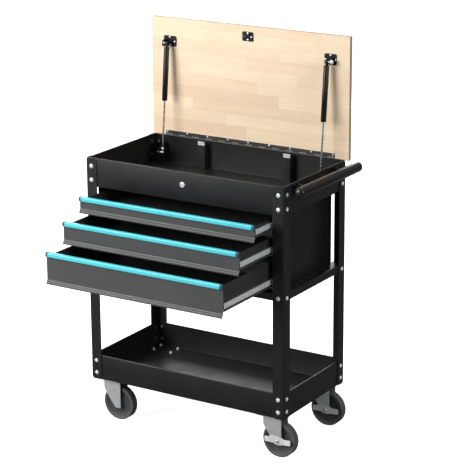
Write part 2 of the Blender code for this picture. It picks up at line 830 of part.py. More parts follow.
def brake_pedal(name, x, y):
    """The rocking strap on the axle of a braked caster: level ends and a raised middle."""
    near = y - LEG_INNER - LEG_SHEET - PEDAL_GAP
    lower_edge = [(-0.052, -0.0098), (-0.024, -0.0095), (-0.005, -0.0110), (0.023, -0.0115), (0.052, -0.0095)]
    upper_edge = [(0.052, 0.0100), (0.024, 0.0098), (0.015, 0.0150), (-0.003, 0.0167), (-0.021, 0.0195)]
    upper_edge += [(-0.031, 0.0150), (-0.036, 0.0100), (-0.052, 0.0100)]
    thing = flat(name, lower_edge + upper_edge, "XZ", near - PEDAL_SHEET, near)
    hole = rod("hole", (0, near - 2 * PEDAL_SHEET, 0), "Y", 0.0062, 3 * PEDAL_SHEET, 16)
    cut(thing, hole)
    for piece in (thing, hole):
        piece.location = (x + TRAIL, 0, WHEEL_RADIUS)
    material(thing, ZINC)


# Assembly


def build_frame():
    for name, side_x, side_y in (
        ("post_front_left", -1, -1),
        ("post_front_right", 1, -1),
        ("post_rear_left", -1, 1),
        ("post_rear_right", 1, 1),
    ):
        post(name, side_x, side_y)
    top_tray()
    bottom_shelf()
    drawer_case()
    front_rail()
    side_rack("side_rack_left", -1)
    side_rack("side_rack_right", 1)
    push_handle()


def build_lid():
    hinge_leaf_tray()
    hinge_leaf_lid()
    hinge_pin()
    lid_board()
    lid_strike()
    for side, word in ((-1, "left"), (1, "right")):
        strut_foot(f"strut_foot_{word}", side)
        strut_bracket(f"strut_bracket_{word}", side)
        strut_rod(f"strut_rod_{word}", side)
        strut_tube(f"strut_tube_{word}", side)


def build_lock():
    lock_housing()
    lock_plug()
    lock_rod("lock_rod_left", -1)
    lock_rod("lock_rod_right", 1)


def build_drawers():
    for label, (low, high, floor, box_top, slide_z, opening) in DRAWERS.items():
        drawer(label, low, high, floor, box_top, slide_z, opening)
        drawer_slides(label, slide_z, opening)


def build_casters():
    for end, side_x in (("left", -1), ("right", 1)):
        for row, side_y in (("front", -1), ("rear", 1)):
            x, y = side_x * CASTER_X, side_y * CASTER_Y
            braked = side_x > 0
            caster_plate(f"caster_plate_{row}_{end}", x, y)
            caster_fork(f"caster_fork_{row}_{end}", x, y, braked)
            caster_wheel(f"caster_wheel_{row}_{end}", x, y)
            if braked:
                brake_pedal(f"brake_pedal_{row}", x, y)


def lower_to_origin():
    """Parents every piece and cutter to an empty that brings the shelf's floor to height zero."""
    ground = bpy.data.objects.new("ground_level", None)
    PARTS.objects.link(ground)
    ground.location = (0, 0, -SHELF_FLOOR)
    for thing in [*PARTS.objects, *CUTTERS.objects]:
        if thing is not ground:
            thing.parent = ground


def shade_round_pieces():
    for thing in PARTS.objects:
        if thing.type == "MESH":
            thing.data.shade_smooth()
            thing.data.set_sharp_from_angle(angle=math.radians(35))


build_frame()
build_lid()
build_lock()
build_drawers()
build_casters()
lower_to_origin()
shade_round_pieces()
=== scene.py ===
"""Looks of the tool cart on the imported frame: formed sheet, fasteners, casters, wooden lid and materials.

Metres, in the frame's axes: +X towards the push handle, -Y towards the drawer fronts, +Z up. Places come
from the boxes of the frame's nodes, so every piece sits where its node does and rides on the node's body.
"""

import json
import math

import bmesh
import bpy
from mathutils import Matrix, Vector

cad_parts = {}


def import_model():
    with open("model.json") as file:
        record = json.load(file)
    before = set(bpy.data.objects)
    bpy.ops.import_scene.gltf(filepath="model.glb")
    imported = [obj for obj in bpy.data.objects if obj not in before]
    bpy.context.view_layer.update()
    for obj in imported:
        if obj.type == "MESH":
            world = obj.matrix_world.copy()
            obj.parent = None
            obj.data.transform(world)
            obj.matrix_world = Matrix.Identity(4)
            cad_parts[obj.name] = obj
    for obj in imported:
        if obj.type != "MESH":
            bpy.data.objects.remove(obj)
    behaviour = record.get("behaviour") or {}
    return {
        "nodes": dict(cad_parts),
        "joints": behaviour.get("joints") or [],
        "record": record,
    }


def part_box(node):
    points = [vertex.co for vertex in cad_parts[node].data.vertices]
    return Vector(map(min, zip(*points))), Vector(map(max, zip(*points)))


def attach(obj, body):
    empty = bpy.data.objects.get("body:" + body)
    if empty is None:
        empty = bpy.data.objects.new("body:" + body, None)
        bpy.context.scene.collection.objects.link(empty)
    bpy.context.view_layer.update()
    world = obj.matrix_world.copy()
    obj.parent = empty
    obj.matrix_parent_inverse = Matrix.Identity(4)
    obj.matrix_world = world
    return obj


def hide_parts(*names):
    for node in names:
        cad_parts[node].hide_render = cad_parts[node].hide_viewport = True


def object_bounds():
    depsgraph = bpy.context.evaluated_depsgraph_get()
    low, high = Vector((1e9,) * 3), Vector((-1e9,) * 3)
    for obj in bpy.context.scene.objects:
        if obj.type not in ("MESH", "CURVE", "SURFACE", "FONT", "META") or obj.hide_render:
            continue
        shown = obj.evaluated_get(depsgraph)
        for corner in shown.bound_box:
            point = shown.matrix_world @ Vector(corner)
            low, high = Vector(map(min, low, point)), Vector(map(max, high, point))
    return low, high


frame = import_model()
CAD_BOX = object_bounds()
NODES = frame["nodes"]
SLOT_OF = {row["node"]: row["material_slot"] for row in frame["record"]["subparts"]}
BODIES = frame["record"]["behaviour"]["bodies"]
BODY_OF = {node: body for body, nodes in BODIES.items() for node in nodes}
JOINTS = {joint["name"]: joint for joint in frame["joints"]}
SIDES = (("left", -1), ("right", 1))
ROWS = (("front", -1), ("rear", 1))
DRAWERS = ("top", "middle", "bottom")

SHEET = 0.0012
POST_SHEET = 0.002
SHEET_BEND = 0.0026
POST_BEND = 0.0040
EDGE = 0.00035
# The width of the rims that turn inwards round the tray and the shelf.
RIM = 0.006
# The angle, in degrees, from which an edge is sharp.
SHARP = 32

# Fasteners
BOLT_RADIUS = 0.0075
BOLT_HEIGHT = 0.0036
NUT_RADIUS = 0.0062
NUT_HEIGHT = 0.0055
SCREW_RADIUS = 0.0030
SCREW_HEIGHT = 0.0014


# Node materials


class Nodes:
    """A node tree, with short calls for the nodes used here."""

    def __init__(self, owner):
        owner.use_nodes = True
        self.tree = owner.node_tree

    def node(self, kind, inputs=None, **settings):
        made = self.tree.nodes.new("ShaderNode" + kind)
        for key, value in settings.items():
            setattr(made, key, value)
        for key, value in (inputs or {}).items():
            self.feed(made.inputs[key], value)
        return made

    def feed(self, socket, value):
        if isinstance(value, bpy.types.NodeSocket):
            self.tree.links.new(value, socket)
        else:
            socket.default_value = value

    def math(self, operation, a, b=0.0):
        return self.node("Math", {0: a, 1: b}, operation=operation).outputs[0]

    def ramp(self, fac, low, high, from_low=0.0, from_high=1.0):
        """Maps fac from one range to another, held at the ends."""
        inputs = {"Value": fac, "From Min": from_low, "From Max": from_high, "To Min": low, "To Max": high}
        return self.node("MapRange", inputs).outputs[0]

    def mix(self, fac, a, b):
        made = self.node("Mix", data_type="RGBA")
        for index, value in ((0, fac), (6, a), (7, b)):
            self.feed(made.inputs[index], value)
        return made.outputs[2]


class Shader(Nodes):
    """The nodes of a new material."""

    def __init__(self, name):
        self.material = bpy.data.materials.new(name)
        super().__init__(self.material)
        self.surface = self.tree.nodes["Principled BSDF"]
        self.place = self.node("TexCoord").outputs["Object"]

    def set(self, **values):
        for key, value in values.items():
            self.feed(self.surface.inputs[key.replace("_", " ")], value)

    def scaled(self, scale, vector=None):
        inputs = {"Vector": vector or self.place, "Scale": scale}
        return self.node("Mapping", inputs).outputs[0]

    def noise(self, scale, detail=4.0, roughness=0.5, vector=None):
        inputs = {"Vector": vector or self.place, "Scale": scale, "Detail": detail, "Roughness": roughness}
        return self.node("TexNoise", inputs).outputs["Fac"]

    def bump(self, height, strength, distance):
        inputs = {"Height": height, "Strength": strength, "Distance": distance}
        self.set(Normal=self.node("Bump", inputs).outputs[0])


def rgb(*levels):
    return (*levels, 1.0)


def paint(name, dark, light, roughness, specular):
    """Powder coat: a fine orange-peel skin, with faint drifts of tone and gloss."""
    shader = Shader(name)
    drift = shader.noise(6.0, 2.0)
    skin = shader.noise(900.0, 3.0, 0.6)
    shader.set(
        Base_Color=shader.mix(drift, rgb(*dark), rgb(*light)),
        Roughness=shader.ramp(shader.noise(14.0, 3.0), roughness - 0.05, roughness + 0.05, 0.3, 0.7),
        Specular_IOR_Level=specular,
    )
    shader.bump(skin, 0.12, 0.0004)
    return shader.material


def plated(name, dark, light, roughness, metallic=1.0):
    """Bright zinc plate: metal with cloudy tone and fine drawn lines."""
    shader = Shader(name)
    cloud = shader.noise(38.0, 5.0, 0.6)
    lines = shader.noise(60.0, 3.0, 0.6, shader.scaled((1.0, 1.0, 16.0)))
    shader.set(
        Base_Color=shader.mix(shader.ramp(cloud, 0.0, 1.0, 0.3, 0.7), rgb(*dark), rgb(*light)),
        Metallic=metallic,
        Roughness=shader.ramp(lines, roughness - 0.06, roughness + 0.08, 0.3, 0.7),
    )
    shader.bump(lines, 0.06, 0.0003)
    return shader.material


def trim(name, colour, deep, roughness):
    """Glossy moulded trim with drawn lines along its length."""
    shader = Shader(name)
    lines = shader.noise(500.0, 2.0, 0.5, shader.scaled((0.04, 1.0, 1.0)))
    shader.set(
        Base_Color=shader.mix(shader.noise(20.0, 2.0), rgb(*deep), rgb(*colour)),
        Roughness=shader.ramp(lines, roughness - 0.04, roughness + 0.05, 0.3, 0.7),
        Specular_IOR_Level=0.5,
    )
    shader.bump(lines, 0.05, 0.0003)
    return shader.material


def rubber(name, dark, light):
    """Moulded tread rubber: matte, speckled and a little dusty."""
    shader = Shader(name)
    grain = shader.noise(700.0, 4.0, 0.7)
    dust = shader.noise(24.0, 4.0, 0.6)
    shader.set(
        Base_Color=shader.mix(shader.ramp(dust, 0.0, 1.0, 0.35, 0.7), rgb(*dark), rgb(*light)),
        Roughness=shader.ramp(grain, 0.48, 0.66, 0.3, 0.7),
        Specular_IOR_Level=0.35,
    )
    shader.bump(grain, 0.16, 0.0004)
    return shader.material


STAVE_HEIGHT = 0.0425
STAVE_LENGTH = 0.46


def butcher_block(name):
    """Glued staves along X in rows along Z: each row has its joints, each stave its tone and grain."""
    shader = Shader(name)
    axes = shader.node("SeparateXYZ", {0: shader.place}).outputs
    rise = shader.math("DIVIDE", axes[2], STAVE_HEIGHT)
    row = shader.math("FLOOR", rise)
    start = shader.node("TexWhiteNoise", {"W": row}, noise_dimensions="1D").outputs["Value"]
    stretch = shader.math("DIVIDE", axes[0], STAVE_LENGTH)
    along = shader.math("ADD", stretch, shader.math("MULTIPLY", start, 7.0))
    segment = shader.math("FLOOR", along)
    key = shader.node("CombineXYZ", {0: segment, 1: row, 2: 3.0}).outputs[0]
    stave = shader.node("TexWhiteNoise", {"Vector": key}, noise_dimensions="3D").outputs
    shift = shader.node("VectorMath", {0: stave["Color"], 1: (9.0, 9.0, 9.0)}, operation="MULTIPLY")
    shift = shift.outputs[0]
    moved = shader.node("VectorMath", {0: shader.place, 1: shift}, operation="ADD").outputs[0]

    figure = shader.noise(1.0, 5.0, 0.55, shader.scaled((5.0, 60.0, 60.0), moved))
    pores = shader.noise(1.0, 3.0, 0.6, shader.scaled((26.0, 900.0, 900.0), moved))
    flame = shader.noise(1.0, 2.0, 0.5, shader.scaled((2.2, 20.0, 20.0), moved))
    tone = shader.mix(stave["Value"], rgb(0.94, 0.765, 0.545), rgb(0.86, 0.670, 0.465))
    pink = shader.ramp(shader.noise(1.0, 0.0, 0.5, shader.scaled((0.0, 0.0, 0.0), key)), 0.0, 1.0)
    blush = shader.node("SeparateColor", {0: stave["Color"]}).outputs[2]
    blush = shader.math("MULTIPLY", shader.ramp(blush, 0.0, 0.5, 0.72, 1.0), pink)
    tone = shader.mix(blush, tone, rgb(0.76, 0.53, 0.375))
    tone = shader.mix(shader.ramp(flame, 0.0, 0.32, 0.46, 0.78), tone, rgb(0.74, 0.52, 0.34))
    tone = shader.mix(shader.ramp(figure, 0.0, 0.34, 0.46, 0.80), tone, rgb(0.72, 0.50, 0.32))
    tone = shader.mix(shader.ramp(pores, 0.0, 0.24, 0.50, 0.80), tone, rgb(0.62, 0.42, 0.26))
    normal = shader.node("NewGeometry").outputs["Normal"]
    across = shader.node("SeparateXYZ", {0: normal}).outputs
    edge_grain = shader.math("ADD", shader.math("ABSOLUTE", across[0]), shader.math("ABSOLUTE", across[2]))
    tone = shader.mix(shader.ramp(edge_grain, 0.0, 0.75, 0.5, 0.9), tone, rgb(0.30, 0.21, 0.13))

    edge_v = shader.math("ABSOLUTE", shader.math("SUBTRACT", shader.math("FRACT", rise), 0.5))
    edge_u = shader.math("ABSOLUTE", shader.math("SUBTRACT", shader.math("FRACT", along), 0.5))
    line_v = shader.ramp(edge_v, 0.0, 1.0, 0.488, 0.499)
    line_u = shader.ramp(edge_u, 0.0, 1.0, 0.4986, 0.4998)
    line = shader.math("MAXIMUM", line_v, line_u)
    shader.set(
        Base_Color=shader.mix(shader.math("MULTIPLY", line, 0.30), tone, rgb(0.42, 0.27, 0.16)),
        Roughness=shader.ramp(pores, 0.36, 0.50, 0.3, 0.7),
        Specular_IOR_Level=0.35,
    )
    height = shader.math("SUBTRACT", shader.math("MULTIPLY", pores, 0.4), line)
    shader.bump(height, 0.10, 0.0004)
    return shader.material


MATERIALS = {
    "black": paint("black_powder_coat", (0.0085, 0.0085, 0.0090), (0.0125, 0.0125, 0.0130), 0.40, 0.36),
    "grey": paint("grey_powder_coat", (0.062, 0.062, 0.063), (0.074, 0.074, 0.075), 0.40, 0.40),
    # A darker copy of the drawer grey for the drawer boxes: painted shade on their sides and inside.
    "box": paint("drawer_box_shaded_grey", (0.026, 0.026, 0.027), (0.033, 0.033, 0.034), 0.40, 0.38),
    "satin": paint("black_satin", (0.0045, 0.0045, 0.0048), (0.0070, 0.0070, 0.0074), 0.30, 0.32),
    "grip": paint("black_gloss", (0.006, 0.006, 0.0065), (0.009, 0.009, 0.0095), 0.24, 0.45),
    "hinge": paint("hinge_dark_steel", (0.022, 0.022, 0.023), (0.032, 0.032, 0.033), 0.34, 0.60),
    "cyan": trim("turquoise_trim", (0.105, 0.690, 0.770), (0.085, 0.600, 0.700), 0.26),
    "zinc": plated("zinc_plate", (0.64, 0.65, 0.66), (0.78, 0.79, 0.80), 0.34, 0.66),
    # A dark copy of the zinc plate, for the nuts inside the tray and the shelf, the slides' ribs and the
    # caster bolt heads under the plates: painted shade.
    "shaded_zinc": plated("shaded_zinc", (0.11, 0.11, 0.115), (0.17, 0.17, 0.175), 0.42, 0.8),
    # A brighter, less metallic copy of the zinc plate for the slides' flat strips and the brake pedals:
    # plated zinc with a painted highlight.
    "strip": plated("slide_strip_painted_light", (0.78, 0.79, 0.80), (0.86, 0.87, 0.88), 0.34, 0.30),
    "teal": paint("turquoise_end_cap", (0.020, 0.100, 0.130), (0.028, 0.125, 0.155), 0.36, 0.45),
    "rod": plated("ground_rod", (0.42, 0.43, 0.45), (0.50, 0.51, 0.53), 0.26),
    "chrome": plated("bright_fastener", (0.94, 0.94, 0.95), (0.98, 0.98, 0.98), 0.20, 0.35),
    "rubber": rubber("wheel_rubber", (0.078, 0.078, 0.079), (0.105, 0.105, 0.107)),
    "core": rubber("wheel_core", (0.046, 0.046, 0.047), (0.062, 0.062, 0.063)),
    "wood": butcher_block("butcher_block"),
    "hollow": paint("shadow_black", (0.004, 0.004, 0.004), (0.006, 0.006, 0.006), 0.60, 0.20),
}
# The finishes of each material slot. The first one is also for the slot's nodes that stay in view.
FINISHES = {
    "body_black": ("black", "satin", "grip", "hollow"),
    "drawer_grey": ("grey", "box"),
    "pull_cyan": ("cyan", "teal"),
    "zinc_steel": ("zinc", "shaded_zinc", "strip"),
    "rod_steel": ("rod",),
    "lock_chrome": ("chrome",),
    "hinge_steel": ("hinge",),
    "wheel_rubber": ("rubber", "core"),
    "lid_wood": ("wood",),
}


# Mesh tools


def rounded(path, radius, steps=4, closed=False):
    """The path with each bend turned into an arc of that radius."""
    points = []
    for i, corner in enumerate(path):
        here = Vector(corner)
        if not closed and i in (0, len(path) - 1):
            points.append(here)
            continue
        back = Vector(path[i - 1]) - here
        ahead = Vector(path[(i + 1) % len(path)]) - here
        turn = math.pi - back.angle(ahead)
        if turn < 0.03:
            points.append(here)
            continue
        reach = min(radius * math.tan(turn / 2), back.length * 0.49, ahead.length * 0.49)
        real = reach / math.tan(turn / 2)
        centre = here + (back.normalized() + ahead.normalized()).normalized() * (real / math.cos(turn / 2))
        arm = here + back.normalized() * reach - centre
        way = 1 if -back.cross(ahead) > 0 else -1
        points += [centre + Matrix.Rotation(way * turn * k / steps, 2) @ arm for k in range(steps + 1)]
    return [tuple(point) for point in points]


def bent_sheet(path, thickness):
    """The outline of a sheet bent along an open path, with the thickness to the path's right."""
    offsets = []
    for i, point in enumerate(path):
        here = Vector(point)
        before = Vector(path[max(i - 1, 0)])
        after = Vector(path[min(i + 1, len(path) - 1)])
        ways = [way.normalized() for way in (here - before, after - here) if way.length > 1e-9]
        normals = [Vector((way.y, -way.x)) for way in ways]
        mean = sum(normals, Vector((0, 0))).normalized()
        offsets.append(here + mean * (thickness / mean.dot(normals[0])))
    return list(path) + [tuple(point) for point in reversed(offsets)]


def far_near(low, high, way):
    """A pair of levels, with the one that lies further along the way first."""
    return (high, low) if way > 0 else (low, high)


def arc(centre, radius, start, end, steps):
    angles = [math.radians(start + (end - start) * i / steps) for i in range(steps + 1)]
    return [(centre[0] + radius * math.cos(a), centre[1] + radius * math.sin(a)) for a in angles]


def box_outline(u0, u1, v0, v1, radius, steps=4):
    return rounded([(u0, v0), (u1, v0), (u1, v1), (u0, v1)], radius, steps, closed=True)


PLANES = {
    "XY": lambda u, v, t: (u, v, t),
    "XZ": lambda u, v, t: (u, t, v),
    "YZ": lambda u, v, t: (t, u, v),
}


def face_out(bm):
    bmesh.ops.recalc_face_normals(bm, faces=bm.faces)
    if bm.calc_volume(signed=True) < 0:
        bmesh.ops.reverse_faces(bm, faces=bm.faces)
    return bm


def prism(outline, plane, start, end):
    """A flat outline extruded from start to end along the axis that its plane leaves out."""
    bm = bmesh.new()
    place = PLANES[plane]
    near = [bm.verts.new(place(u, v, start)) for u, v in outline]
    far = [bm.verts.new(place(u, v, end)) for u, v in outline]
    bm.faces.new(near)
    bm.faces.new(reversed(far))
    count = len(outline)
    for i in range(count):
        j = (i + 1) % count
        bm.faces.new((near[i], near[j], far[j], far[i]))
    return face_out(bm)


def folded(path, radius, thickness, plane, start, end, steps=4):
    """A sheet folded along an open path and extruded."""
    return prism(bent_sheet(rounded(path, radius, steps), thickness), plane, start, end)


def lathe(profile, steps=32):
    """A profile of (radius, height) points turned about Z."""
    bm = bmesh.new()
    verts = [bm.verts.new((radius, 0, height)) for radius, height in profile]
    edges = [bm.edges.new(pair) for pair in zip(verts, verts[1:])]
    bmesh.ops.spin(bm, geom=verts + edges, axis=(0, 0, 1), cent=(0, 0, 0), angle=math.tau, steps=steps)
    bmesh.ops.remove_doubles(bm, verts=bm.verts, dist=1e-6)
    return face_out(bm)


def mirrored(half):
    """A closed profile from its upper half."""
    return half + [(radius, -height) for radius, height in reversed(half)] + [half[0]]


def cylinder(radius, low, high, steps=32):
    """A plain cylinder about Z."""
    return lathe([(0, low), (radius, low), (radius, high), (0, high)], steps)


def aimed(bm, at, axis):
    """Turns a shape made along +Z to the axis and moves it to its place."""
    turn = Vector((0, 0, 1)).rotation_difference(Vector(axis)).to_matrix().to_4x4()
    bm.transform(Matrix.Translation(at) @ turn)
    return bm


def joined(*parts):
    """One bmesh that holds all the given ones, which are used up."""
    whole = bmesh.new()
    for part in parts:
        mesh = bpy.data.meshes.new("part")
        part.to_mesh(mesh)
        part.free()
        whole.from_mesh(mesh)
        bpy.data.meshes.remove(mesh)
    return whole


def sliced(bm, point, normal):
    """Cuts off what lies beyond a plane and closes the cut."""
    geometry = bm.verts[:] + bm.edges[:] + bm.faces[:]
    found = bmesh.ops.bisect_plane(
        bm, geom=geometry, dist=1e-7, plane_co=point, plane_no=normal, clear_outer=True
    )
    edges = [part for part in found["geom_cut"] if isinstance(part, bmesh.types.BMEdge)]
    bmesh.ops.edgenet_fill(bm, edges=edges)
    return face_out(bm)


def block(low, high):
    bm = bmesh.new()
    bmesh.ops.create_cube(bm, size=1.0)
    bmesh.ops.scale(bm, vec=high - low, verts=bm.verts)
    bmesh.ops.translate(bm, vec=(high + low) / 2, verts=bm.verts)
    return bm


def formed_box(low, high, open_sides=("top",), rim=0.0, bend=SHEET_BEND):
    """The outer skin of a folded sheet box with rounded folds. A rim turns inwards round an open top."""
    bm = block(Vector(low), Vector(high))
    ways = {"top": Vector((0, 0, 1)), "front": Vector((0, -1, 0))}
    open_ways = [ways[side] for side in open_sides if not (rim and side == "top")]
    kept = [f for f in bm.faces if all(f.normal.dot(way) < 0.9 for way in open_ways)]
    edges = [e for e in bm.edges if sum(f in kept for f in e.link_faces) == 2]
    bmesh.ops.bevel(bm, geom=edges, offset=bend, segments=4, affect="EDGES", profile=0.5)
    bm.normal_update()
    for side in open_sides:
        way = ways[side]
        face = max((f for f in bm.faces if f.normal.dot(way) > 0.99), key=lambda f: f.calc_area())
        if rim and side == "top":
            bmesh.ops.inset_individual(bm, faces=[face], thickness=rim - bend)
        bmesh.ops.delete(bm, geom=[face], context="FACES")
    return bm


def linked(name, data):
    """A new object in the scene."""
    thing = bpy.data.objects.new(name, data)
    bpy.context.scene.collection.objects.link(thing)
    return thing


def piece(name, bm, body, finish, edge=EDGE, stands_for=(), sheet=0.0, angle=SHARP):
    """A visible piece with its material, riding on its body. It may stand for nodes of the frame."""
    mesh = bpy.data.meshes.new(name)
    bm.to_mesh(mesh)
    bm.free()
    mesh.shade_smooth()
    mesh.set_sharp_from_angle(angle=math.radians(angle))
    mesh.materials.append(MATERIALS[finish])
    thing = linked(name, mesh)
    if sheet:
        solid = thing.modifiers.new("Sheet", "SOLIDIFY")
        solid.thickness = sheet
        solid.offset = -1.0
        solid.use_even_offset = True
    if edge:
        bevel = thing.modifiers.new("Edges", "BEVEL")
        bevel.width = edge
        bevel.segments = 2
        bevel.limit_method = "ANGLE"
        bevel.angle_limit = math.radians(40)
    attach(thing, body)
    if stands_for:
        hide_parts(*stands_for)
    return thing


def for_node(node, suffix, bm, finish, edge=EDGE, **settings):
    """The piece that stands for a node of the frame, on the node's body."""
    return piece(f"{node}_{suffix}", bm, BODY_OF[node], finish, edge, (node,), **settings)


def drilled(thing, cutter_bm):
    """Cuts a shape out of a piece for good."""
    mesh = bpy.data.meshes.new("cutter")
    cutter_bm.to_mesh(mesh)
    cutter_bm.free()
    cutter = linked("cutter", mesh)
    boolean = thing.modifiers.new("Cut", "BOOLEAN")
    boolean.object = cutter
    boolean.operation = "DIFFERENCE"
    boolean.solver = "EXACT"
    keep = [m for m in thing.modifiers if m.type == "BEVEL"]
    for modifier in keep:
        modifier.show_viewport = False
    bpy.context.view_layer.update()
    evaluated = thing.evaluated_get(bpy.context.evaluated_depsgraph_get())
    cut_mesh = bpy.data.meshes.new_from_object(evaluated)
    for modifier in [m for m in thing.modifiers if m.type != "BEVEL"]:
        thing.modifiers.remove(modifier)
    for modifier in keep:
        modifier.show_viewport = True
    thing.data = cut_mesh
    cut_mesh.shade_smooth()
    cut_mesh.set_sharp_from_angle(angle=math.radians(SHARP))
    bpy.data.objects.remove(cutter)
    return thing


# Fasteners


def bolt_head(radius=BOLT_RADIUS, height=BOLT_HEIGHT):
    """A flanged dome head with a sunk round socket, on the plane z = 0."""
    dome = radius * 0.80
    socket = radius * 0.30
    profile = [(0, height * 0.45), (socket, height * 0.45), (socket, height)]
    profile += [
        (socket + (dome - socket) * t, height - height * 0.72 * t**2.4) for t in (0.2, 0.4, 0.6, 0.8, 1.0)
    ]
    profile += [(radius, height * 0.20), (radius, 0), (0, 0)]
    return lathe(profile, 24)


def nut_body(radius=NUT_RADIUS, height=NUT_HEIGHT):
    """A flange nut with the bolt's end standing out of it, on the plane z = 0."""
    hexagon = prism(arc((0, 0), radius, 0, 300, 5), "XY", 0.0012, height)
    wide = radius * 1.28
    flange = lathe([(0, 0), (wide, 0), (wide, 0.0008), (radius * 0.9, 0.0018), (0, 0.0018)], 24)
    thread = [(0, height - 0.001)]
    thread += [(radius * (0.46 + 0.05 * (k % 2)), height - 0.001 + 0.0006 * k) for k in range(6)]
    thread += [(0, height + 0.0022)]
    return joined(hexagon, flange, lathe(thread, 16))


def screw_head(radius=SCREW_RADIUS, height=SCREW_HEIGHT):
    """A pan head with a raised cross on it, on the plane z = 0."""
    profile = [(0, height), (radius * 0.45, height * 0.97), (radius * 0.8, height * 0.75)]
    profile += [(radius, height * 0.25), (radius, 0), (0, 0)]
    head = lathe(profile, 20)
    reach, half = radius * 0.62, radius * 0.13
    bars = [
        prism([(-a, -b), (a, -b), (a, b), (-a, b)], "XY", height * 1.02, height * 1.06)
        for a, b in ((reach, half), (half, reach))
    ]
    return joined(head, *bars)


def group(name, maker, places, body, finish="chrome", edge=0.0, **sizes):
    """The same fastener at each (place, axis), as one piece."""
    parts = [aimed(maker(**sizes), place, axis) for place, axis in places]
    return piece(name, joined(*parts), body, finish, edge)


# Frame

SHELF_LOW, SHELF_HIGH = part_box("bottom_shelf")
TRAY_LOW, TRAY_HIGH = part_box("top_tray")
CASE_LOW, CASE_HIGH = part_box("drawer_case")
POST_LOW, POST_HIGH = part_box("post_front_right")
RAIL_LOW, RAIL_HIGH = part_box("front_rail")
HALF_X = POST_HIGH.x
HALF_Y = -POST_LOW.y
INNER_X = TRAY_HIGH.x
INNER_Y = -TRAY_LOW.y
POST_CHAMFER = 0.009
# Bolt lines: from the corner along each flange, and the heights of the bolts.
BOLT_LINE = 0.022
FRONT_BOLT_X = HALF_X - BOLT_LINE
SIDE_BOLT_Y = HALF_Y - BOLT_LINE
BOLT_HEIGHTS = (
    TRAY_HIGH.z - 0.030,
    TRAY_HIGH.z - 0.080,
    RAIL_LOW.z + 0.011,
    SHELF_HIGH.z - 0.021,
    SHELF_HIGH.z - 0.067,
)


def post(corner, side_x, side_y):
    """An angle post with a rounded fold and clipped flange corners."""
    name = f"post_{corner}"
    low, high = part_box(name)
    x_out, x_in = far_near(low.x, high.x, side_x)
    y_out, y_in = far_near(low.y, high.y, side_y)
    path = [(x_in, y_out), (x_out, y_out), (x_out, y_in)]
    bm = folded(path, POST_BEND, POST_SHEET * side_x * side_y, "XY", low.z, high.z, 5)
    for z, way in ((high.z, 1), (low.z, -1)):
        level = z - way * POST_CHAMFER
        sliced(bm, (x_out, y_out, level), (side_x, side_y, way))
        sliced(bm, (x_in, y_out, level), (-side_x, 0, way))
        sliced(bm, (x_out, y_in, level), (0, -side_y, way))
    for_node(name, "angle", bm, "black")


def post_fasteners(corner, side_x, side_y):
    heads, nuts = [], []
    for z in BOLT_HEIGHTS:
        heads.append(((side_x * FRONT_BOLT_X, side_y * HALF_Y, z), (0, side_y, 0)))
        heads.append(((side_x * HALF_X, side_y * SIDE_BOLT_Y, z), (side_x, 0, 0)))
        if z > RAIL_HIGH.z or z < RAIL_LOW.z:
            nuts.append(((side_x * FRONT_BOLT_X, side_y * (INNER_Y - SHEET), z), (0, -side_y, 0)))
            nuts.append(((side_x * (INNER_X - SHEET), side_y * SIDE_BOLT_Y, z), (-side_x, 0, 0)))
    group(f"bolts_{corner}", bolt_head, heads, "cart")
    # The nuts inside the tray and the shelf take the dark zinc copy: painted shade.
    group(f"nuts_{corner}", nut_body, nuts, "cart", "shaded_zinc", EDGE)


COVER_HALF = 0.017
COVER_GAP = 0.0018
COVER_DROP = 0.013
COVER_BEND = 0.0022


def top_tray():
    """The tray's folded sheet and the covers of the two lock rods on its back wall."""
    skin = formed_box(TRAY_LOW, (INNER_X, INNER_Y, TRAY_HIGH.z), rim=RIM)
    for_node("top_tray", "sheet", skin, "black", sheet=SHEET)
    covers = []
    for side, _ in SIDES:
        rod_low, rod_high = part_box(f"lock_rod_{side}")
        x = (rod_low.x + rod_high.x) / 2
        left, right = x - COVER_HALF, x + COVER_HALF
        front, back = rod_low.y - COVER_GAP, INNER_Y - SHEET
        path = [(left, back), (left, front), (right, front), (right, back)]
        covers.append(folded(path, COVER_BEND, -SHEET, "XY", TRAY_LOW.z + SHEET, rod_high.z - COVER_DROP))
    piece("top_tray_rod_covers", joined(*covers), "cart", "black")


def bottom_shelf():
    skin = formed_box(SHELF_LOW, SHELF_HIGH, rim=RIM)
    for_node("bottom_shelf", "sheet", skin, "black", sheet=SHEET)


def drawer_case():
    skin = formed_box(CASE_LOW, CASE_HIGH, ("front", "top"))
    for_node("drawer_case", "sheet", skin, "black", sheet=SHEET)


def front_rail():
    low, high = RAIL_LOW, RAIL_HIGH
    path = [(low.y + 0.0015, high.z), (low.y, high.z), (low.y, low.z), (high.y, low.z)]
    for_node("front_rail", "sheet", folded(path, 0.0022, -SHEET, "YZ", low.x, high.x), "black")


RACK_HOLES = 7
RACK_PITCH = 0.043
RACK_HOLE_RADIUS = 0.0145


def side_rack(side, way):
    """The side rail with its row of tool holes through the top flange."""
    name = f"side_rack_{side}"
    low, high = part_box(name)
    edge, inner = far_near(low.x, high.x, way)
    path = [(edge, low.z), (edge, high.z), (inner, high.z)]
    bm = folded(path, SHEET_BEND, way * -SHEET, "XZ", low.y, high.y)
    thing = for_node(name, "sheet", bm, "black")
    holes = []
    for i in range(RACK_HOLES):
        y = (i - (RACK_HOLES - 1) / 2) * RACK_PITCH
        hole = cylinder(RACK_HOLE_RADIUS, -0.01, 0.01)
        holes.append(aimed(hole, ((edge + inner) / 2, y, high.z), (0, 0, 1)))
    drilled(thing, joined(*holes))


HANDLE_RADIUS = 0.0185
HANDLE_DROP = 0.014
HANDLE_DOME = 0.012
ARM_Y = 0.130
ARM_SHEET = 0.0020


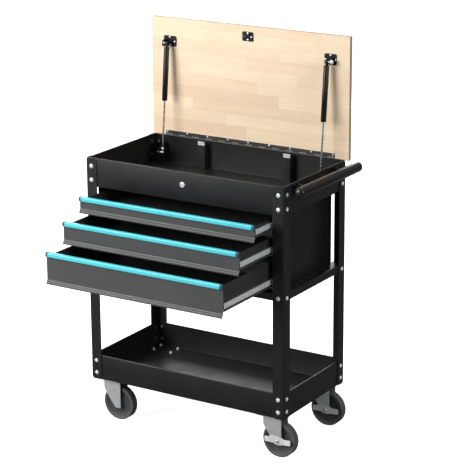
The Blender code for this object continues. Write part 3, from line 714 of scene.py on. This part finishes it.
def push_handle():
    """The handle's round bar with capped ends, on two formed arms with bolted feet."""
    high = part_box("push_handle")[1]
    bar_x = high.x - HANDLE_RADIUS
    bar_z = TRAY_HIGH.z - HANDLE_DROP
    turns = [math.radians(a) for a in range(0, 91, 15)]
    end = [(HANDLE_RADIUS * math.sin(a), -high.y + HANDLE_DOME * (1 - math.cos(a))) for a in turns]
    bar = lathe(end + [(r, -z) for r, z in reversed(end)], 40)
    aimed(bar, (bar_x, 0, bar_z), (0, 1, 0))
    arms = []
    bolts = []
    for way in (-1, 1):
        y = way * ARM_Y
        path = [
            (bar_x - 0.004, y + 0.003),
            (HALF_X + 0.006, y + 0.003),
            (HALF_X + 0.0002, y + 0.010),
            (HALF_X + 0.0002, y + 0.018),
        ]
        other = [(x, 2 * y - v) for x, v in path]
        for route, turn in ((path, -1), (other, 1)):
            arms.append(folded(route, 0.003, turn * -ARM_SHEET, "XY", bar_z - 0.0105, bar_z + 0.0065))
        foot = box_outline(y - 0.018, y + 0.018, bar_z - 0.030, bar_z + 0.010, 0.005)
        arms.append(prism(foot, "YZ", HALF_X - 0.0018, HALF_X + 0.0010))
        bolts += [((HALF_X + 0.0010, y + v, bar_z - 0.022), (1, 0, 0)) for v in (-0.010, 0.010)]
    for_node("push_handle", "bar", joined(bar, *arms), "grip")
    group("push_handle_bolts", bolt_head, bolts, "cart", "satin", radius=0.0055, height=0.003)


# Lid, hinge and struts

LID_LOW, LID_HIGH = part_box("lid_board")
LID_EDGE = 0.0018
KNUCKLES = 25
KNUCKLE_GAP = 0.0005
LEAF_SHEET = 0.0012
LEAF_SCREWS = 9
LEAF_SCREW_INSET = 0.007
PIN_BORE = 0.0023
# How the lid's fasteners are sized.
PAN_HEAD = {"radius": 0.0034, "height": 0.0016}


def lid_board():
    bm = block(LID_LOW, LID_HIGH)
    bmesh.ops.bevel(bm, geom=bm.edges[:], offset=LID_EDGE, segments=4, affect="EDGES", profile=0.5)
    for_node("lid_board", "staves", bm, "wood", 0.0)


def knuckle(x0, x1, centre, radius):
    """One rolled barrel of the hinge, bored for the pin."""
    rim = 0.0003
    long = x1 - x0
    profile = [(PIN_BORE, 0), (radius - rim, 0), (radius, rim)]
    profile += [(radius, long - rim), (radius - rim, long), (PIN_BORE, long), (PIN_BORE, 0)]
    bm = lathe(profile, 16)
    return aimed(bm, (x0, *centre), (1, 0, 0))


def piano_hinge():
    """Both leaves with rolled knuckles that alternate along the pin, and their screws."""
    pin_low, pin_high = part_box("hinge_pin")
    centre = ((pin_low.y + pin_high.y) / 2, (pin_low.z + pin_high.z) / 2)
    tray_low, tray_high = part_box("hinge_leaf_tray")
    lid_low, lid_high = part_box("hinge_leaf_lid")
    radius = tray_high.z - centre[1]
    step = (tray_high.x - tray_low.x) / KNUCKLES
    parts = {"tray": [], "lid": []}
    for i in range(KNUCKLES):
        x0 = tray_low.x + i * step + KNUCKLE_GAP / 2
        x1 = x0 + step - KNUCKLE_GAP
        owner = "tray" if i % 2 == 0 else "lid"
        parts[owner].append(knuckle(x0, x1, centre, radius))
        if owner == "tray":
            neck = box_outline(tray_low.y, tray_low.y + LEAF_SHEET, centre[1] - 0.009, centre[1], 0.0002, 1)
        else:
            neck = box_outline(lid_high.y - LEAF_SHEET, lid_high.y, centre[1], centre[1] + 0.009, 0.0002, 1)
        parts[owner].append(prism(neck, "YZ", x0, x1))
    clear = radius + 0.0005
    tray_plate = box_outline(tray_low.x, tray_high.x, tray_low.z, centre[1] - clear, 0.002)
    parts["tray"].append(prism(tray_plate, "XZ", tray_low.y, tray_low.y + LEAF_SHEET))
    lid_plate = box_outline(lid_low.x, lid_high.x, centre[1] + clear, lid_high.z, 0.002)
    parts["lid"].append(prism(lid_plate, "XZ", lid_high.y - LEAF_SHEET, lid_high.y))
    for owner, shapes in parts.items():
        for_node(f"hinge_leaf_{owner}", "rolled", joined(*shapes), "hinge", 0.0)
    pitch = (lid_high.x - lid_low.x - 2 * LEAF_SCREW_INSET) / (LEAF_SCREWS - 1)
    xs = [lid_low.x + LEAF_SCREW_INSET + i * pitch for i in range(LEAF_SCREWS)]
    screw_z = lid_high.z - 0.0045
    lid_screws = [((x, lid_high.y - LEAF_SHEET, screw_z), (0, -1, 0)) for x in xs]
    tray_screws = [((x, tray_low.y + LEAF_SHEET, tray_low.z + 0.0055), (0, 1, 0)) for x in xs]
    group("hinge_screws_lid", screw_head, lid_screws, "lid", radius=0.0032, height=0.0012)
    group("hinge_screws_tray", screw_head, tray_screws, "cart", radius=0.0024, height=0.0011)


PLATE = 0.002
TONGUE_HALF = 0.005
TONGUE_RISE = 0.0245
STRIKE_SCREWS = ((-0.0150, 0.0035), (0.0150, -0.0010), (0.0, 0.0118), (0.0, -0.0118))
BRACKET_SCREWS = ((-0.020, -0.001), (0.020, -0.001), (0.0, 0.0145), (0.0, -0.0145))


def plate_screws(name, x, y, z, spots):
    """Pan heads on a plate of the lid, at spots given from its middle."""
    heads = [((x + u, y, z + v), (0, -1, 0)) for u, v in spots]
    group(name, screw_head, heads, "lid", **PAN_HEAD)


def lid_strike():
    """The plate on the lid, with the bent tongue that the lock's hook holds."""
    low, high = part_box("lid_strike")
    plate = prism(box_outline(low.x, high.x, low.z, high.z, 0.005), "XZ", high.y - PLATE, high.y)
    tongue_z = low.z + TONGUE_RISE
    path = [(high.y - 0.001, tongue_z), (low.y, tongue_z), (low.y, tongue_z + 0.0085)]
    tongue = folded(path, 0.0028, 0.0020, "YZ", -TONGUE_HALF, TONGUE_HALF)
    for_node("lid_strike", "plate", joined(plate, tongue), "satin")
    middle_x, middle_z = (low.x + high.x) / 2, (low.z + high.z) / 2
    plate_screws("lid_strike_screws", middle_x, high.y - PLATE, middle_z, STRIKE_SCREWS)


# Along the strut from its lower pivot.
TUBE_START = 0.192
TUBE_END = 0.390
TUBE_BORE_DEPTH = 0.140
TUBE_RADIUS = 0.0100
ROD_RADIUS = 0.0035
EYE_HALF = 0.0062


def strut(side):
    """The strut's rod and tube, made along +Z and laid between its two pivots."""
    foot = Vector(JOINTS[f"strut_pivot_{side}"]["pos_m"])
    up = Vector(JOINTS[f"strut_slide_{side}"]["axis"]).normalized()
    tube_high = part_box(f"strut_tube_{side}")[1]
    length = (tube_high.z - 0.0075 - foot.z) / up.z

    def laid(bm):
        return aimed(bm, foot, up)

    def eye(height):
        ring = [(0.0034, -EYE_HALF), (0.0058, -EYE_HALF), (0.0068, -EYE_HALF + 0.001)]
        ring += [(0.0068, EYE_HALF - 0.001), (0.0058, EYE_HALF), (0.0034, EYE_HALF), (0.0034, -EYE_HALF)]
        return aimed(lathe(ring, 24), (0, 0, height), (1, 0, 0))

    rod_profile = [(0, 0.004), (ROD_RADIUS, 0.004), (ROD_RADIUS, 0.2135), (0.003, 0.214), (0, 0.214)]
    collar = [(0, 0.004), (0.0052, 0.004), (0.0056, 0.006), (0.0056, 0.017), (0.0040, 0.020), (0, 0.020)]
    ground = laid(joined(lathe(rod_profile, 20), lathe(collar, 20), eye(0)))
    for_node(f"strut_rod_{side}", "ground", ground, "rod", 0.0)
    shell = [
        (TUBE_RADIUS - 0.002, TUBE_START),
        (TUBE_RADIUS - 0.0006, TUBE_START + 0.0006),
        (TUBE_RADIUS, TUBE_START + 0.002),
        (TUBE_RADIUS, TUBE_END - 0.003),
        (TUBE_RADIUS - 0.0012, TUBE_END - 0.0008),
        (TUBE_RADIUS - 0.003, TUBE_END),
        (0.0045, TUBE_END),
        (0.0042, length - 0.004),
        (0, length - 0.004),
    ]
    bore_end = TUBE_START + TUBE_BORE_DEPTH
    bore = [(0, bore_end), (0.0040, bore_end), (0.0040, TUBE_START)]
    body = lathe(bore + shell, 32)
    for_node(f"strut_tube_{side}", "shell", laid(joined(body, eye(length))), "satin", 0.0)


# From a strut's axis out to where the stud leaves its eye, and on to the bracket's cheek.
STUD_INSET = 0.0088
CHEEK_INSET = 0.0042
CHEEK_SHEET = 0.0025


def strut_foot(side, way):
    """The strut's foot bracket on the tray's wall, with its stud and fasteners."""
    foot_low, foot_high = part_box(f"strut_foot_{side}")
    x_out, x_in = far_near(foot_low.x, foot_high.x, way)
    back = foot_high.y
    plate = x_in + way * CHEEK_INSET
    foot = Vector(JOINTS[f"strut_pivot_{side}"]["pos_m"])
    low_z, high_z = foot_low.z, foot_high.z
    outline = [(foot_low.y, low_z), (back, low_z), (back, high_z)]
    outline += [(foot.y + 0.023, high_z - 0.005), (foot_low.y, foot.z + 0.009)]
    outline = rounded(outline, 0.005, closed=True)
    cheek = prism(outline, "YZ", *sorted((plate, plate + way * CHEEK_SHEET)))
    flange_path = [(plate + way * 0.0002, back - 0.012), (plate + way * 0.0002, back), (x_out, back)]
    flange = folded(flange_path, 0.0035, -way * 0.0022, "XY", low_z + 0.0004, high_z - 0.0004)
    stud = cylinder(0.004, 0, 0.0095, 20)
    nut = prism(arc((0, 0), 0.0060, 0, 300, 5), "XY", 0.0060, 0.0125)
    aimed(stud, (x_in, foot.y, foot.z), (way, 0, 0))
    aimed(nut, (x_in, foot.y, foot.z), (way, 0, 0))
    for_node(f"strut_foot_{side}", "formed", joined(cheek, flange), "satin")
    piece(f"strut_foot_stud_{side}", joined(stud, nut), "cart", "chrome", EDGE)
    bolt_x = (plate + x_out) / 2 + way * 0.003
    bolts = [((bolt_x, back - 0.0022, z), (0, -1, 0)) for z in (low_z + 0.012, high_z - 0.012)]
    sizes = {"radius": 0.0052, "height": 0.0045}
    group(f"strut_foot_bolts_{side}", nut_body, bolts, "cart", "satin", EDGE, **sizes)


def strut_head(side, way):
    """The strut's head bracket on the lid, with its ball stud and screws."""
    foot_low, foot_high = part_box(f"strut_foot_{side}")
    x_in = far_near(foot_low.x, foot_high.x, way)[1]
    low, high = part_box(f"strut_bracket_{side}")
    face = high.y
    head_z = low.z + 0.018
    axis_x = x_in - way * STUD_INSET
    left, right = (axis_x - 0.026, axis_x + 0.028) if way < 0 else (axis_x - 0.020, axis_x + 0.028)
    plate_low, plate_high = head_z - 0.014, head_z + 0.025
    base = prism(box_outline(left, right, plate_low, plate_high, 0.006), "XZ", face - PLATE, face)
    tab_x = x_in + way * CHEEK_INSET
    tab_outline = box_outline(low.y + 0.001, face - 0.0005, head_z - 0.012, head_z + 0.012, 0.0075, 5)
    tab = prism(tab_outline, "YZ", *sorted((tab_x, tab_x + way * CHEEK_SHEET)))
    head_y = low.y + 0.010
    stud = cylinder(0.004, 0, 0.0095, 20)
    turns = [math.radians(a) for a in range(35, 181, 16)]
    ball = [(0.0082 * math.sin(a), 0.0088 - 0.0082 * math.cos(a)) for a in turns]
    nut = lathe([(0, ball[0][1])] + ball + [(0, 0.0170)], 24)
    for part in (stud, nut):
        aimed(part, (x_in, head_y, head_z), (way, 0, 0))
    for_node(f"strut_bracket_{side}", "formed", joined(base, tab), "satin")
    piece(f"strut_bracket_stud_{side}", joined(stud, nut), "lid", "chrome", 0.0)
    middle_x, middle_z = (left + right) / 2, (plate_low + plate_high) / 2
    plate_screws(f"strut_bracket_screws_{side}", middle_x, face - PLATE, middle_z, BRACKET_SCREWS)


# Lock

KEY_SLOT = (0.0032, 0.0008)
KEY_FLOOR = (0.0031, 0.00075)
HOOK_SHEET = 0.002
BARREL_RADIUS = 0.0052


def key_slot(x, z, half, start, end):
    """The body of the key slot, between two depths."""
    outline = box_outline(x - half[0], x + half[0], z - half[1], z + half[1], 0.0004, 2)
    return prism(outline, "XZ", start, end)


def lock():
    """The bezel in the front wall, the plug with its key slot and the hook behind the wall."""
    low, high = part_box("lock_housing")
    x, z = (low.x + high.x) / 2, (low.z + high.z) / 2
    outer = (high.x - low.x) / 2
    bezel = [
        (0.0056, -0.010),
        (0.0080, -0.010),
        (0.0080, 0.0003),
        (outer, 0.0003),
        (outer, 0.0012),
        (outer - 0.0004, 0.0022),
        (outer - 0.0016, 0.0031),
        (outer - 0.0030, -low.y - INNER_Y),
        (0.0056, -low.y - INNER_Y),
        (0.0056, -0.010),
    ]
    ring = aimed(lathe(bezel, 40), (x, -INNER_Y, z), (0, -1, 0))
    for_node("lock_housing", "bezel", ring, "chrome", 0.0)
    plug_low, plug_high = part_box("lock_plug")
    face = plug_low.y
    deep = plug_high.y - face
    barrel = [(0, 0), (BARREL_RADIUS - 0.0006, 0), (BARREL_RADIUS, 0.0006), (BARREL_RADIUS, deep), (0, deep)]
    barrel = aimed(lathe(barrel, 32), (x, face, z), (0, 1, 0))
    centre = (x, z)
    outline = arc(centre, 0.0262, 240, 165, 14) + arc(centre, 0.0222, 165, 222, 12)
    outline += arc(centre, 0.0070, 200, -70, 18)
    hook = prism(outline, "XZ", plug_high.y - HOOK_SHEET, plug_high.y)
    thing = for_node("lock_plug", "barrel", joined(barrel, hook), "chrome", 0.0)
    drilled(thing, key_slot(x, z, KEY_SLOT, face - 0.004, face + 0.006))
    floor = key_slot(x, z, KEY_FLOOR, face + 0.0030, face + 0.0058)
    piece("lock_plug_keyway", floor, "lock_plug", "hollow", 0.0)


# Drawers

DRAWER_HALF = 0.343
# From the lower end of a front up to its box's floor, and from the trim's top down to the box's edge.
DRAWER_FLOOR = {"top": 0.0115, "middle": 0.0170, "bottom": 0.0220}
DRAWER_EDGE_DROP = 0.0095
DRAWER_SHEET = 0.001
DRAWER_BEND = 0.0022
CAP_LENGTH = 0.009


def drawer(label):
    """The box, the front with its curled lip, and the trim along its top edge."""
    name = f"drawer_{label}"
    low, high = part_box(name)
    pull_low, pull_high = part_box(f"drawer_pull_{label}")
    face = pull_high.y - 0.0040
    box_low = (-DRAWER_HALF, face + SHEET, low.z + DRAWER_FLOOR[label])
    box_high = (DRAWER_HALF, high.y, pull_high.z - DRAWER_EDGE_DROP)
    skin = formed_box(box_low, box_high, bend=DRAWER_BEND)
    # The box takes the darker grey copy: painted shade.
    piece(f"{name}_box", skin, name, "box", sheet=DRAWER_SHEET)

    bottom = low.z
    path = [(face, pull_high.z - 0.003), (face, bottom + 0.017)]
    path += arc((face - 0.008, bottom + 0.017), 0.008, 0, -50, 8)[1:]
    path += arc((face - 0.0005, bottom + 0.004), 0.0062, 140, 180, 6)
    path += [(face - 0.0067, bottom)]
    front = prism(bent_sheet(path, -SHEET), "YZ", low.x, high.x)
    for_node(name, "front", front, "grey", angle=40)

    top = pull_high.z
    inner = face + SHEET + 0.0003
    section = [(face - 0.0003, top - 0.017), (face - 0.0003, top - 0.0027), (inner, top - 0.0027)]
    section += [(inner, top - 0.0085), (inner + 0.0025, top - 0.0085)]
    section += arc((inner + 0.0015, top - 0.0010), 0.0010, 0, 90, 3)
    section += arc((face - 0.0045, top - 0.0045), 0.0045, 90, 180, 8)
    section += arc((face - 0.0045, top - 0.0125), 0.0045, 180, 270, 8)
    pull = f"drawer_pull_{label}"
    left, right = pull_low.x + CAP_LENGTH, pull_high.x - CAP_LENGTH
    for_node(pull, "trim", prism(section, "YZ", left, right), "cyan", angle=40)
    ends = joined(prism(section, "YZ", pull_low.x, left), prism(section, "YZ", right, pull_high.x))
    piece(f"{pull}_ends", ends, name, "teal", edge=0.0012, angle=40)


SLIDE_SHEET = 0.0012
SLIDE_RIB = 0.0070
SLIDE_GROOVE = 0.0026
SLIDE_HOLES = (0.0165, 0.173, 0.300)
SLIDE_HOLE_RADIUS = 0.0021
SLIDE_CURL = 0.0030
SLIDE_EDGE = 0.0002


def slide(label, side, way):
    """The slide's case channel, and the drawer's rail: a flat strip above a groove and a narrow rib."""
    case_name = f"slide_case_{label}_{side}"
    low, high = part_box(case_name)
    web, lip = far_near(low.x, high.x, way)
    path = [(lip, low.z + SLIDE_CURL), (lip, low.z), (web, low.z)]
    path += [(web, high.z), (lip, high.z), (lip, high.z - SLIDE_CURL)]
    bm = folded(path, 0.0024, -way * SLIDE_SHEET, "XZ", low.y, high.y)
    for_node(case_name, "channel", bm, "zinc", SLIDE_EDGE)

    name = f"slide_drawer_{label}_{side}"
    low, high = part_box(name)
    web, lip = far_near(low.x, high.x, way)
    rib_top = low.z + SLIDE_RIB
    strip_low = rib_top + SLIDE_GROOVE
    path = [(lip, strip_low), (web, strip_low), (web, high.z), (lip, high.z)]
    strip = folded(path, 0.0008, -way * SLIDE_SHEET, "XZ", low.y, high.y, 3)
    # The flat strip takes the bright zinc copy: painted highlight.
    thing = for_node(name, "rail", strip, "strip", SLIDE_EDGE)
    path = [(lip, low.z), (web, low.z), (web, rib_top), (lip, rib_top)]
    rib = folded(path, 0.0008, -way * SLIDE_SHEET, "XZ", low.y, high.y, 3)
    # The rib under the strip takes the dark zinc copy: painted shade.
    piece(f"{name}_rib", rib, BODY_OF[name], "shaded_zinc", SLIDE_EDGE)
    middle = (strip_low + high.z) / 2
    cutters = [
        aimed(cylinder(SLIDE_HOLE_RADIUS, -0.003, 0.003, 16), (web, low.y + y, middle), (way, 0, 0))
        for y in SLIDE_HOLES
    ]
    drilled(thing, joined(*cutters))


# Casters

PLATE_SHEET = 0.003
CASTER_BOLT_X = 0.039
CASTER_BOLT_Y = 0.024
COLLAR_RADIUS = 0.0270


def caster(row, end):
    """The bolted plate with its race, then the fork, the wheel and, at the handle's end, the brake pedal."""
    place = f"{row}_{end}"
    low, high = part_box(f"caster_plate_{place}")
    x, y = (low.x + high.x) / 2, (low.y + high.y) / 2
    plate = prism(box_outline(low.x, high.x, low.y, high.y, 0.007), "XY", high.z - PLATE_SHEET, high.z)
    race = [(0, low.z), (COLLAR_RADIUS - 0.0008, low.z), (COLLAR_RADIUS, low.z + 0.0004)]
    race = lathe(race + [(COLLAR_RADIUS, high.z - 0.002), (0, high.z - 0.002)], 40)
    race.transform(Matrix.Translation((x, y, 0)))
    for_node(f"caster_plate_{place}", "stamped", joined(plate, race), "zinc")
    spots = [(x + u * CASTER_BOLT_X, y + v * CASTER_BOLT_Y) for u in (-1, 1) for v in (-1, 1)]
    nuts = [((u, v, 0.0), (0, 0, 1)) for u, v in spots]
    sizes = {"radius": 0.0056, "height": 0.0062}
    group(f"caster_nuts_{place}", nut_body, nuts, "cart", "zinc", EDGE, **sizes)
    heads = [((u, v, high.z - PLATE_SHEET), (0, 0, -1)) for u, v in spots]
    sizes = {"radius": 0.0065, "height": 0.0030}
    # The bolt heads under the plate take the dark zinc copy: painted shade.
    group(f"caster_bolts_{place}", bolt_head, heads, "cart", "shaded_zinc", **sizes)
    caster_fork(place, x, y, end == "right")
    caster_wheel(place)
    if end == "right":
        brake_pedal(row, place)


LEG_SHEET = 0.003
LEG_OUTER = 0.0215
LEG_FRONT = 0.015
FORK_BACK = 0.0297
FORK_BEND = 0.009
CROWN_SHEET = 0.003
RACE_HEIGHT = 0.0038
RACE_RADIUS = 0.031
AXLE_RADIUS = 0.0055
AXLE_END_RADIUS = 0.0068
PEDAL_THICKNESS = 0.0042


def axle_of(place):
    """The middle of the wheel, on the axle."""
    low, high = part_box(f"caster_wheel_{place}")
    return (low + high) / 2


def caster_fork(place, x, y, braked):
    """The swivel race on a folded channel whose sides slant in to a flat foot below the axle."""
    name = f"caster_fork_{place}"
    low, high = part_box(name)
    axle = axle_of(place)
    crown_top = high.z - RACE_HEIGHT + 0.0005
    start = axle.x + LEG_FRONT
    back = x - FORK_BACK
    path = [(start, y - LEG_OUTER), (back, y - LEG_OUTER), (back, y + LEG_OUTER), (start, y + LEG_OUTER)]
    channel = folded(path, FORK_BEND, -LEG_SHEET, "XY", low.z, crown_top - 0.0004, 8)
    knee = Vector((x - 0.0164, y, axle.z + 0.0359))
    for end_point in ((back, y, axle.z + 0.0545), (axle.x - 0.0085, y, low.z)):
        along = Vector(end_point) - knee
        normal = Vector((along.z, 0, -along.x))
        if normal.x > 0:
            normal.negate()
        sliced(channel, knee, normal)
    half = LEG_OUTER - 0.0004
    crown = box_outline(back + 0.0006, start - 0.0003, y - half, y + half, 0.006)
    crown = prism(crown, "XY", crown_top - CROWN_SHEET, crown_top)
    race_low = high.z - RACE_HEIGHT
    race = [(0, race_low), (RACE_RADIUS - 0.001, race_low), (RACE_RADIUS, race_low + 0.001)]
    race += [(RACE_RADIUS, high.z - 0.0012), (RACE_RADIUS - 0.0012, high.z), (0, high.z)]
    dish = lathe(race, 48)
    dish.transform(Matrix.Translation((x, y, 0)))
    for_node(name, "stamped", joined(channel, crown, dish), "zinc", 0.0005)

    near = LEG_OUTER + (PEDAL_THICKNESS if braked else 0.0)
    shaft = aimed(cylinder(AXLE_RADIUS, -near - 0.001, LEG_OUTER + 0.001, 24), axle, (0, 1, 0))
    head = aimed(bolt_head(AXLE_END_RADIUS, 0.0034), axle + Vector((0, -near, 0)), (0, -1, 0))
    nut = aimed(nut_body(AXLE_END_RADIUS, 0.0040), axle + Vector((0, LEG_OUTER, 0)), (0, 1, 0))
    piece(f"caster_axle_{place}", joined(shaft, head, nut), BODY_OF[name], "zinc", 0.0)


TYRE_HALF = 0.0150
TYRE_SHOULDER = 0.0020


def caster_wheel(place):
    """The tyre, with crisp shoulders, and the core that it is moulded on."""
    name = f"caster_wheel_{place}"
    low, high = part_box(name)
    centre = axle_of(place)
    radius = (high.z - low.z) / 2
    hub = (high.y - low.y) / 2
    corner = arc((radius - TYRE_SHOULDER, TYRE_HALF - TYRE_SHOULDER), TYRE_SHOULDER, 90, 0, 4)
    upper = [(0.0505, 0.0130), (0.0520, TYRE_HALF - 0.0002)] + corner
    tyre = lathe(mirrored(upper), 64)
    core_half = [
        (0.0060, hub),
        (0.0118, hub),
        (0.0130, hub - 0.0010),
        (0.0148, 0.0125),
        (0.0180, 0.0110),
        (0.0420, 0.0104),
        (0.0455, 0.0114),
        (0.0478, 0.0136),
        (0.0500, 0.0136),
        (0.0506, 0.0128),
    ]
    core = lathe(mirrored(core_half), 64)
    for part in (tyre, core):
        aimed(part, centre, (0, 1, 0))
    for_node(name, "tyre", tyre, "rubber", 0.0, angle=50)
    piece(f"{name}_core", core, BODY_OF[name], "core", 0.0, angle=50)


def brake_pedal(row, place):
    """A level strap with a hump over the axle bolt and fine ridges across its ends."""
    name = f"brake_pedal_{row}"
    low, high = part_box(name)
    axle = axle_of(place)
    axle.y = 0
    lower_edge = [(-0.052, -0.0098), (-0.024, -0.0095), (-0.005, -0.0110), (0.023, -0.0115), (0.052, -0.0095)]
    upper_edge = [(0.052, 0.0100), (0.024, 0.0098), (0.015, 0.0150), (-0.003, 0.0167), (-0.021, 0.0195)]
    upper_edge += [(-0.031, 0.0150), (-0.036, 0.0100), (-0.052, 0.0100)]
    outline = rounded(lower_edge + upper_edge, 0.004, closed=True)
    parts = [prism(outline, "XZ", low.y + 0.0005, high.y)]
    for u0, u1 in ((-0.0505, -0.0330), (0.0300, 0.0505)):
        for v in (-0.0065, -0.0022, 0.0021, 0.0064):
            ridge = box_outline(u0, u1, v - 0.0009, v + 0.0009, 0.0008, 2)
            parts.append(prism(ridge, "XZ", low.y, low.y + 0.0010))
    bm = joined(*parts)
    bm.transform(Matrix.Translation(axle))
    # The strap takes the bright zinc copy: painted highlight.
    for_node(name, "strap", bm, "strip", 0.0003)


# Stage

FLOOR_RADIUS = 60.0
FLOOR_GAP = 0.0002
# How pale the floor is for all other rays, and for the camera's.
FLOOR_TONE = 0.20
FLOOR_SEEN_TONE = 0.86
# The dome's strength at the horizon and overhead.
DOME_LIGHT = (0.16, 0.42)


def backdrop():
    """A pale floor far wider than the view."""
    bm = bmesh.new()
    bmesh.ops.create_circle(bm, cap_ends=True, radius=FLOOR_RADIUS, segments=64)
    mesh = bpy.data.meshes.new("floor")
    bm.to_mesh(mesh)
    bm.free()
    floor = linked("floor", mesh)
    floor.location.z = CAD_BOX[0].z - FLOOR_GAP
    shader = Shader("pale_floor")
    seen = shader.node("LightPath").outputs["Is Camera Ray"]
    shader.set(
        Base_Color=shader.mix(seen, rgb(*[FLOOR_TONE] * 3), rgb(*[FLOOR_SEEN_TONE] * 3)),
        Roughness=0.9,
        Specular_IOR_Level=0.0,
        Emission_Color=rgb(1.0, 1.0, 1.0),
        Emission_Strength=shader.math("MULTIPLY", seen, FLOOR_SEEN_TONE),
    )
    mesh.materials.append(shader.material)


def world():
    """A soft studio: white behind for the camera, and a dimmer dome, brighter overhead, as light."""
    made = bpy.data.worlds.new("studio")
    bpy.context.scene.world = made
    nodes = Nodes(made)
    background = nodes.tree.nodes["Background"].inputs
    seen = nodes.node("LightPath").outputs["Is Camera Ray"]
    way = nodes.node("TexCoord").outputs["Generated"]
    rise = nodes.node("SeparateXYZ", {0: way}).outputs[2]
    dome = nodes.ramp(rise, *DOME_LIGHT, 0.0, 0.8)
    nodes.feed(background["Strength"], nodes.node("Mix", {0: seen, 2: dome, 3: 1.0}).outputs[0])
    nodes.feed(background["Color"], rgb(1.0, 1.0, 1.0))


def softbox(name, at, aim, size, power):
    """A rectangular area light that faces a point."""
    data = bpy.data.lights.new(name, "AREA")
    data.shape = "RECTANGLE"
    data.size, data.size_y = size
    data.energy = power
    lamp = linked(name, data)
    lamp.location = at
    lamp.rotation_mode = "QUATERNION"
    lamp.rotation_quaternion = (Vector(aim) - Vector(at)).to_track_quat("-Z", "Y")


def lights():
    middle = (CAD_BOX[0] + CAD_BOX[1]) / 2
    softbox("key", (-2.7, -3.8, 2.4), middle, (3.0, 3.0), 280.0)
    softbox("fill", (4.5, -1.0, 2.2), middle, (2.0, 2.6), 70.0)
    softbox("top", (0.2, 0.6, 4.2), middle, (2.6, 2.0), 24.0)
    softbox("back", (-2.4, 4.6, 2.0), middle, (3.0, 3.0), 90.0)


CAMERA_PLACE = (3.503, -5.500, 2.500)
CAMERA_AZIMUTH = 31.84
CAMERA_DIP = 16.73
CAMERA_ROLL = -0.31
CAMERA_LENS = 145.6
SENSOR_WIDTH = 36.0


def camera():
    data = bpy.data.cameras.new("camera")
    data.lens = CAMERA_LENS
    data.sensor_width = SENSOR_WIDTH
    thing = linked("camera", data)
    turn = (
        Matrix.Rotation(math.radians(CAMERA_AZIMUTH), 4, "Z")
        @ Matrix.Rotation(math.radians(90 - CAMERA_DIP), 4, "X")
        @ Matrix.Rotation(math.radians(CAMERA_ROLL), 4, "Z")
    )
    thing.matrix_world = Matrix.Translation(CAMERA_PLACE) @ turn
    bpy.context.scene.camera = thing
    bpy.context.scene.view_settings.view_transform = "Standard"


def finish_nodes():
    """Gives a finish to the frame's nodes that stay in view."""
    for name, thing in NODES.items():
        if thing.hide_render:
            continue
        thing.data.materials.clear()
        thing.data.materials.append(MATERIALS[FINISHES[SLOT_OF[name]][0]])


CORNERS = [(f"{row}_{end}", side_x, side_y) for end, side_x in SIDES for row, side_y in ROWS]
for corner in CORNERS:
    post(*corner)
    post_fasteners(*corner)
top_tray()
bottom_shelf()
drawer_case()
front_rail()
push_handle()
lid_board()
piano_hinge()
lid_strike()
lock()
for side, way in SIDES:
    side_rack(side, way)
    strut(side)
    strut_foot(side, way)
    strut_head(side, way)
for label in DRAWERS:
    drawer(label)
    for side, way in SIDES:
        slide(label, side, way)
for end, _ in SIDES:
    for row, _ in ROWS:
        caster(row, end)
finish_nodes()
backdrop()
world()
lights()
camera()
